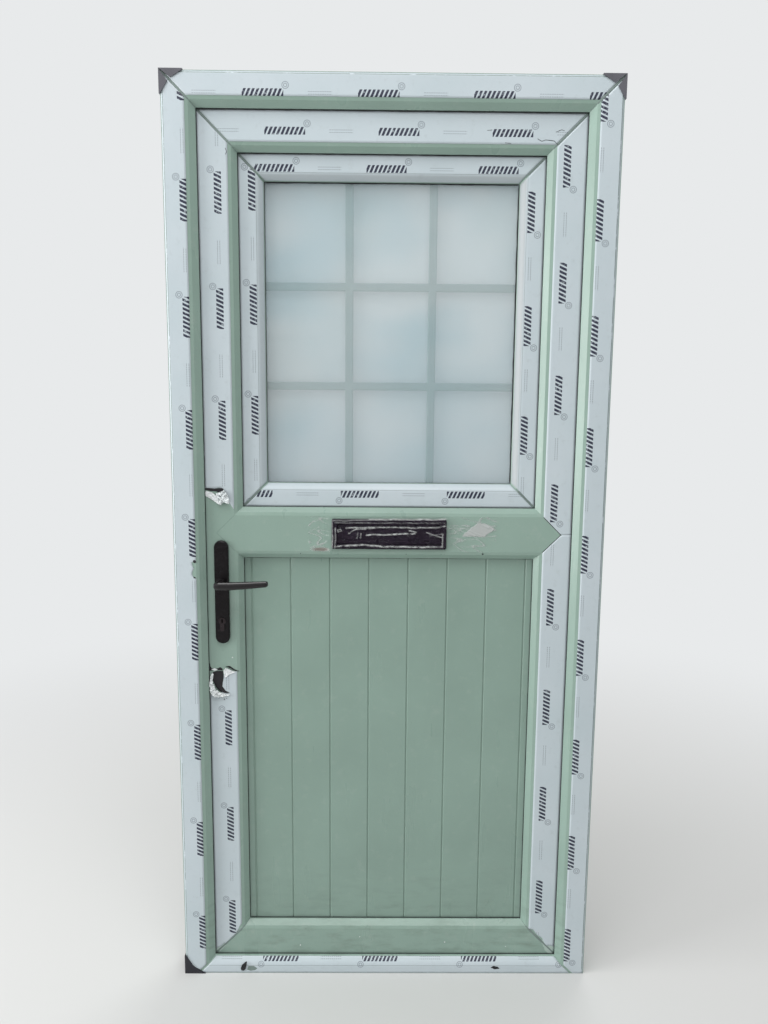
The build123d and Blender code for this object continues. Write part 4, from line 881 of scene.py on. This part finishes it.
# Lower tear: a hole with a curled rim, its black a painted shadow under the curl, and a ragged edge above
# it.
on_leaf.add("film_back", [
    (-416, 768), (-403, 772), (-390, 772), (-388.6, 757), (-392.5, 734), (-385, 723), (-374.5, 717.5),
    (-386, 717.5), (-398, 721), (-407, 731), (-414, 748),
], lift=0.35)
on_leaf.add("torn_film", [
    (-414, 770), (-419, 759), (-421.3, 742), (-421.3, 730), (-418, 717), (-405, 708), (-388, 709),
    (-373, 715), (-386, 716.5), (-398, 720), (-408, 730), (-415, 748), (-412, 764),
], lift=0.6, crumple=6.0, curl=(-0.9, -0.5, 3.5), spacing=1.8, ragged_by=0.8)
on_leaf.add("torn_film", [
    (-389, 772), (-382.5, 781), (-374.5, 777), (-360, 770), (-373.7, 764), (-385, 755),
], lift=0.6, crumple=1.6, curl=(0.3, 0.9, 4), spacing=2.2)
on_leaf.add("film_back", [
    (-421.3, 791), (-419, 782), (-416, 778), (-405, 777), (-397, 781), (-391, 777), (-391, 773),
    (-405, 774), (-421.3, 772),
], lift=0.2, ragged_by=1.2)
on_leaf.add("film_back", [
    (-384, 783), (-373, 784), (-362, 776), (-351, 771), (-360, 772), (-374, 779),
], lift=0.2, ragged_by=1.2)
on_leaf.add(
    "torn_film", [(-417, 776), (-409, 779), (-402, 775), (-410, 772)], lift=0.5, crumple=1.5, spacing=2
)
# Nicks below the lower tear.
for x, z, size in ((-401, 705, 1.3), (-388, 701, 1.6), (-383, 704, 1.0)):
    on_leaf.add("film_back", [(x - size, z), (x, z + 1.6 * size), (x + 1.3 * size, z - size)], lift=0.5)
# Glue left below the cut feet of the two stiles' films.
on_leaf.add(
    "residue", [(-420, 62), (-402, 72), (-398, 60), (-411, 44), (-420, 48)], lift=0.05, ragged_by=1.5
)
on_leaf.add(
    "residue", [(420, 66), (396, 90), (390, 70), (402, 46), (419, 30)], lift=0.05, ragged_by=2.0
)

# Seams along the mid rail's arrows, whose slanting sides begin this far from the door's middle.
ARROW_FEET = 356.8
TIP_GAP = 0.4
rail_z = RAIL_MIDDLE / MM
tip = rail_high.x / MM
for upwards in (-1, 1):
    foot_z, tip_z = rail_z + upwards * (tip - ARROW_FEET), rail_z + upwards * TIP_GAP
    on_leaf.line("film_back", [(ARROW_FEET, foot_z), (tip - TIP_GAP, tip_z)], 0.8)
    on_leaf.line("faint_seam", [(-ARROW_FEET, foot_z), (TIP_GAP - tip, tip_z)], 0.6)

# Slits in the film of the head and near its corners, and specks along the mid rail's lower edge, on the
# left stile and on the bottom rail.
SPECK_RISE = 11
for slit in (
    [(313, 1971), (322, 1966), (331, 1969), (349, 1967), (357, 1960)],
    [(352, 1985), (364, 1990), (371, 1988)], [(204, 1987), (214, 1988)], [(243, 1962), (256, 1961)],
    [(-361, 1945), (-358, 1938), (-361, 1932)],
):
    on_leaf.line("film_back", slit, 0.5, lift=0.5)
for x, size in ((-205, 1.2), (-118, 0.9), (40, 1.0), (121, 0.8), (218, 2.4)):
    on_leaf.speck("film_back", x, rail_low.z / MM + SPECK_RISE + size, size)
for x, z, size in ((-367, 805, 1.5), (-212, 61, 1.8), (-64, 84, 1.4), (148, 70, 1.6), (301, 58, 1.3)):
    on_leaf.speck("torn_film", x, z, size)
on_leaf.make("film_scraps", "leaf")

# Scraps on the frame: bits at the notch, and a flap, a grey patch and a nick on the threshold.
on_frame = Scraps(frame_ring.front)
on_frame.add(
    "film_back", [(-449, 1043), (-444, 1042.5), (-441.6, 1038), (-445, 1036), (-449, 1037)], lift=0.3
)
on_frame.add("film_back", [(-449, 1004), (-446, 1003), (-443, 1000), (-449, 1000)], lift=0.3)
on_frame.add("film_back", [
    (-342, 34), (-347, 31), (-354, 24), (-357.5, 15), (-356, 9), (-350, 8), (-345.5, 13), (-343, 24),
], lift=3.0)
on_frame.add("weld", [(-339, 19), (-342, 9), (-333, 6), (-322, 8), (-317, 12), (-325, 19)], lift=0.3)
on_frame.add("film_back", [(262, 16), (268, 20), (279, 18), (284, 13), (272, 11)], lift=0.6)
on_frame.make("frame_scraps", "frame")


# Clear tape over the letterplate. A crease is a half width, a whiteness and then points, in millimetres
# from the plate's middle, and FOLD is where the tape's right end is folded over.
plate_low, plate_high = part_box("letterplate_frame")
tape_low, tape_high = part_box("letterplate_tape")
# Each crease's whiteness is partly whitened tape and partly painted highlight where light catches it.
CREASES = (
    (0.8, 0.5, (-128, 31), (-46, 34)),
    (1.4, 0.9, (-46, 34.5), (60, 35), (131, 36)),
    (0.6, 0.35, (-125, 27), (-39, 27)),
    (0.8, 0.25, (-39, 27), (130, 28)),
    (1.2, 0.75, (-99, 15), (-19, 16.5), (107, 16.5), (130, 21)),
    (1.0, 0.7, (-92, 1.5), (-75, 11.7), (-32, 15)),
    (0.8, 0.5, (-75, -8), (-72, 3)),
    (0.8, 0.5, (-67, -8), (-65, 2)),
    (1.3, 0.85, (-52, -1), (7, 0), (60, 3)),
    (1.0, 0.8, (47, 10), (63, 6.5)),
    (0.8, 0.5, (87, 5), (123, -7)),
    (0.6, 0.3, (93, -3), (126, 3)),
    (1.6, 0.9, (-125, -28), (-65, -24), (-12, -28), (123, -29)),
    (0.8, 0.5, (123, 2), (123, -30)),
    (0.8, 0.5, (-131, 32), (-131, -32)),
    (0.8, 0.5, (-123.5, 15), (-125, -32)),
    (0.7, 0.5, (-119, 10), (-113, 12), (-110, 8), (-116, 6), (-119, 10)),
    (1.0, 0.6, (-185, 18), (-175, 28), (-158, 34)),
    (0.9, 0.5, (-185, 3), (-161, 15)),
    (1.2, 0.7, (-181, -33), (-148, -22), (-145, -18)),
    (1.0, 0.6, (133, 20), (186, 20)),
    (0.9, 0.5, (133, 14), (186, 15)),
    (0.8, 0.5, (140, 2), (166, 2)),
    (0.8, 0.4, (166, -30), (212, -27)),
    (0.8, 0.3, (156, -15), (203, -10)),
    (1.2, 1.0, (171, -4), (221, -4), (242, 14)),
    (1.1, 0.8, (171, -3), (189, 15), (209, 28), (239, 18)),
    (1.4, 1.0, (235, 20), (240, 14)),
    (1.4, 1.0, (247, -12), (251, -13)),
)
CREASE_BLUR = 0.9
FOLD = [(171, -3), (189, 15), (209, 28), (239, 18), (242, 10), (221, -4)]
FOLD_WHITENESS = 0.7
STAIN_MIDDLE, STAIN_SIZE = (-158, -37), (21, 5)

# The tape's grid, how it slopes down beside the plate and stands off in creases and loose folds, and how
# unevenly its ends and edges are cut.
TAPE_STEP = 1.5 * MM
TAPE_THICKNESS = 0.05 * MM
TAPE_LIFT = 0.25 * MM
TAPE_SLOPE = 14 * MM
LOOSE_RUN = 30 * MM
CREASE_HEIGHT = 1.1 * MM
LOOSE_HEIGHT = 0.9 * MM
LEFT_BOW, LEFT_CUT, RIGHT_CUT = 6 * MM, 1.5 * MM, 2 * MM
EDGE_CUT = 1.2 * MM


def crease_at(x, z):
    """Whiteness at a point, in millimetres from the plate's middle: partly whitened tape, partly painted
    highlight.
    """
    x += 1.6 * uneven(x * 0.05, z * 0.05, 2)
    z += 1.8 * uneven(x * 0.045, z * 0.06, 8)
    value = 0.0
    for half, strength, *line in CREASES:
        for (x0, z0), (x1, z1) in zip(line, line[1:]):
            run = (x1 - x0) ** 2 + (z1 - z0) ** 2
            share = min(1.0, max(0.0, ((x - x0) * (x1 - x0) + (z - z0) * (z1 - z0)) / run))
            away = math.hypot(x - x0 - share * (x1 - x0), z - z0 - share * (z1 - z0))
            reach = CREASE_BLUR + half
            if away < reach:
                broken = 0.7 + 0.9 * uneven(x * 0.12, z * 0.12, 4)
                value = max(value, strength * broken * (1 - away / reach))
    return max(value, FOLD_WHITENESS) if inside((x, z), FOLD) else value


def tape_depth(x):
    """Where the tape lies in depth: on the rail, and over the plate's edges with a slope."""
    within = min(x - plate_low.x, plate_high.x - x)
    share = min(1.0, max(0.0, 1 + within / TAPE_SLOPE))
    return tape_high.y + (plate_low.y - tape_high.y) * share - TAPE_LIFT


def tape_sheet():
    """The tape from its top to its foot, with the whiteness and the stain at each point."""
    columns = round((tape_high.x - tape_low.x) / TAPE_STEP)
    tall = round((tape_high.z - tape_low.z) / TAPE_STEP)
    lines = []
    for i in range(tall, -1, -1):
        line = []
        z = tape_low.z + (tape_high.z - tape_low.z) * i / tall
        bow = LEFT_BOW * (2 * i / tall - 1) ** 4
        left_end = tape_low.x + bow + LEFT_CUT * (1 + uneven(z * 90, 2, 0))
        right_end = tape_high.x - RIGHT_CUT * (1 + uneven(z * 90, 2, 1))
        for j in range(columns + 1):
            x = left_end + (right_end - left_end) * j / columns
            cut = EDGE_CUT * uneven(x * 45, 9, float(i == 0)) if i in (0, tall) else 0.0
            own_x, own_z = x / MM, (z - RAIL_MIDDLE) / MM
            crease = crease_at(own_x, own_z)
            loose = min(1.0, max(0.0, plate_low.x - x, x - plate_high.x) / LOOSE_RUN)
            sharp = 1 - abs(uneven(x * 22, 0.5, z * 75 + x * 18)) * 9
            folds = max(0.0, sharp) * loose
            lifted = tape_depth(x) - CREASE_HEIGHT * crease - LOOSE_HEIGHT * folds
            # Partly painted highlight: creases and loose folds are whitened where light catches them.
            whiteness_and_glint = min(1.0, max(crease, 0.45 * folds))
            away = math.hypot(
                (own_x - STAIN_MIDDLE[0]) / STAIN_SIZE[0], (own_z - STAIN_MIDDLE[1]) / STAIN_SIZE[1]
            )
            stained = max(0.0, min(0.7, 1.6 - 1.4 * away))
            line.append((Vector((x, lifted, z + cut)), whiteness_and_glint, stained))
        lines.append(line)
    rows, creases, stains = grids_of(lines)
    sheet = Sheet()
    sheet.add(rows, -INTO, TAPE_THICKNESS, crease=creases, stain=stains)
    return sheet


tape = tape_sheet()
piece(
    "clear_tape", tape.verts, tape.faces, ["clear_tape"], "leaf", ("letterplate_tape",),
    tape.values,
)

# Camera: eye in front of the door, with the photograph's framing.
PHOTO_HEIGHT = 1024
FOCAL_PIXELS = 800
SENSOR = 36.0
EYE = Vector((-29 * MM, frame_ring.front - 1803 * MM, 1418 * MM))
PITCH, YAW, ROLL = math.radians(8.23), math.radians(-0.53), math.radians(0.47)
camera_data = bpy.data.cameras.new("camera")
camera_data.sensor_width = SENSOR
camera_data.lens = FOCAL_PIXELS / PHOTO_HEIGHT * SENSOR
camera = placed("camera", camera_data)
right_down_forward = Matrix(((1, 0, 0), (0, 0, -1), (0, 1, 0)))
turned = (
    Matrix.Rotation(ROLL, 3, "Z") @ Matrix.Rotation(PITCH, 3, "X") @ Matrix.Rotation(YAW, 3, "Y")
    @ right_down_forward
)
right_way, down_way, forward_way = turned
camera.matrix_world = Matrix.LocRotScale(
    EYE, Matrix((right_way, -Vector(down_way), -Vector(forward_way))).transposed(), None
)
bpy.context.scene.camera = camera

# Floor, lamps and sky.
FLOOR_HALF = 14.0
FADE_FROM, FADE_TO = 0.8, 3.2
BACKDROP = srgb(232, 234, 235)


def floor_finish():
    """Pale matt floor that melts into the backdrop some way from the door, so that no edge of it shows."""
    shader = Shader("pale floor")
    shader.set(base_color=srgb(206, 207, 206), roughness=0.9)
    distance = shader.node("VectorMath")
    distance.operation = "LENGTH"
    shader.put(distance.inputs[0], shader.place)
    fade = shader.node("MapRange")
    fade.interpolation_type = "SMOOTHSTEP"
    for socket, value in zip(fade.inputs, (distance.outputs["Value"], FADE_FROM, FADE_TO)):
        shader.put(socket, value)
    seen = shader.node("LightPath").outputs["Is Camera Ray"]
    glow = shader.node("Emission")
    glow.inputs["Color"].default_value = BACKDROP
    melt = shader.node("MixShader")
    shader.put(melt.inputs[0], shader.times(seen, fade.outputs[0]))
    shader.put(melt.inputs[1], shader.surface.outputs[0])
    shader.put(melt.inputs[2], glow.outputs[0])
    shader.put(shader.tree.nodes["Material Output"].inputs["Surface"], melt.outputs[0])
    return shader.material


floor_mesh = bpy.data.meshes.new("floor")
corner_ways = ((-1, -1), (1, -1), (1, 1), (-1, 1))
floor_mesh.from_pydata([(x * FLOOR_HALF, y * FLOOR_HALF, 0) for x, y in corner_ways], [], [(0, 1, 2, 3)])
floor_mesh.materials.append(floor_finish())
floor = placed("floor", floor_mesh)

DOOR_MIDDLE = Vector((0, 0, 1.05))


def soft_lamp(name, place, size, watts):
    """A wide lamp that is turned to the middle of the door."""
    lamp_data = bpy.data.lights.new(name, "AREA")
    lamp_data.shape = "RECTANGLE"
    lamp_data.size, lamp_data.size_y = size
    lamp_data.energy = watts
    lamp = placed(name, lamp_data)
    lamp.location = place
    lamp.rotation_euler = (DOOR_MIDDLE - Vector(place)).to_track_quat("-Z", "Y").to_euler()


soft_lamp("left lamp", (-4.2, -1.15, 1.6), (2.4, 2.8), 160)
soft_lamp("key lamp", (-0.3, -1.9, 4.9), (3.2, 2.2), 105)
soft_lamp("back lamp", (1.5, 3.4, 4.0), (3.0, 2.4), 70)


def pale_sky():
    """Even light from all round, and a pale backdrop where the camera, reflections and the glass look."""
    world = bpy.data.worlds.new("sky")
    world.use_nodes = True
    nodes, links = world.node_tree.nodes, world.node_tree.links
    lighting = nodes["Background"]
    lighting.inputs["Color"].default_value = (1.0, 0.995, 0.99, 1)
    lighting.inputs["Strength"].default_value = 0.48
    backdrop = nodes.new("ShaderNodeBackground")
    backdrop.inputs["Color"].default_value = BACKDROP
    backdrop.inputs["Strength"].default_value = 1.0
    paths = nodes.new("ShaderNodeLightPath")
    seen = paths.outputs["Is Camera Ray"]
    for ray in ("Is Glossy Ray", "Is Transmission Ray"):
        either = nodes.new("ShaderNodeMath")
        either.operation = "MAXIMUM"
        links.new(seen, either.inputs[0])
        links.new(paths.outputs[ray], either.inputs[1])
        seen = either.outputs[0]
    blend = nodes.new("ShaderNodeMixShader")
    for socket, output in zip(blend.inputs, (seen, lighting.outputs[0], backdrop.outputs[0])):
        links.new(output, socket)
    links.new(blend.outputs[0], nodes["World Output"].inputs["Surface"])
    return world


bpy.context.scene.world = pale_sky()
bpy.context.scene.view_settings.view_transform = "Standard"
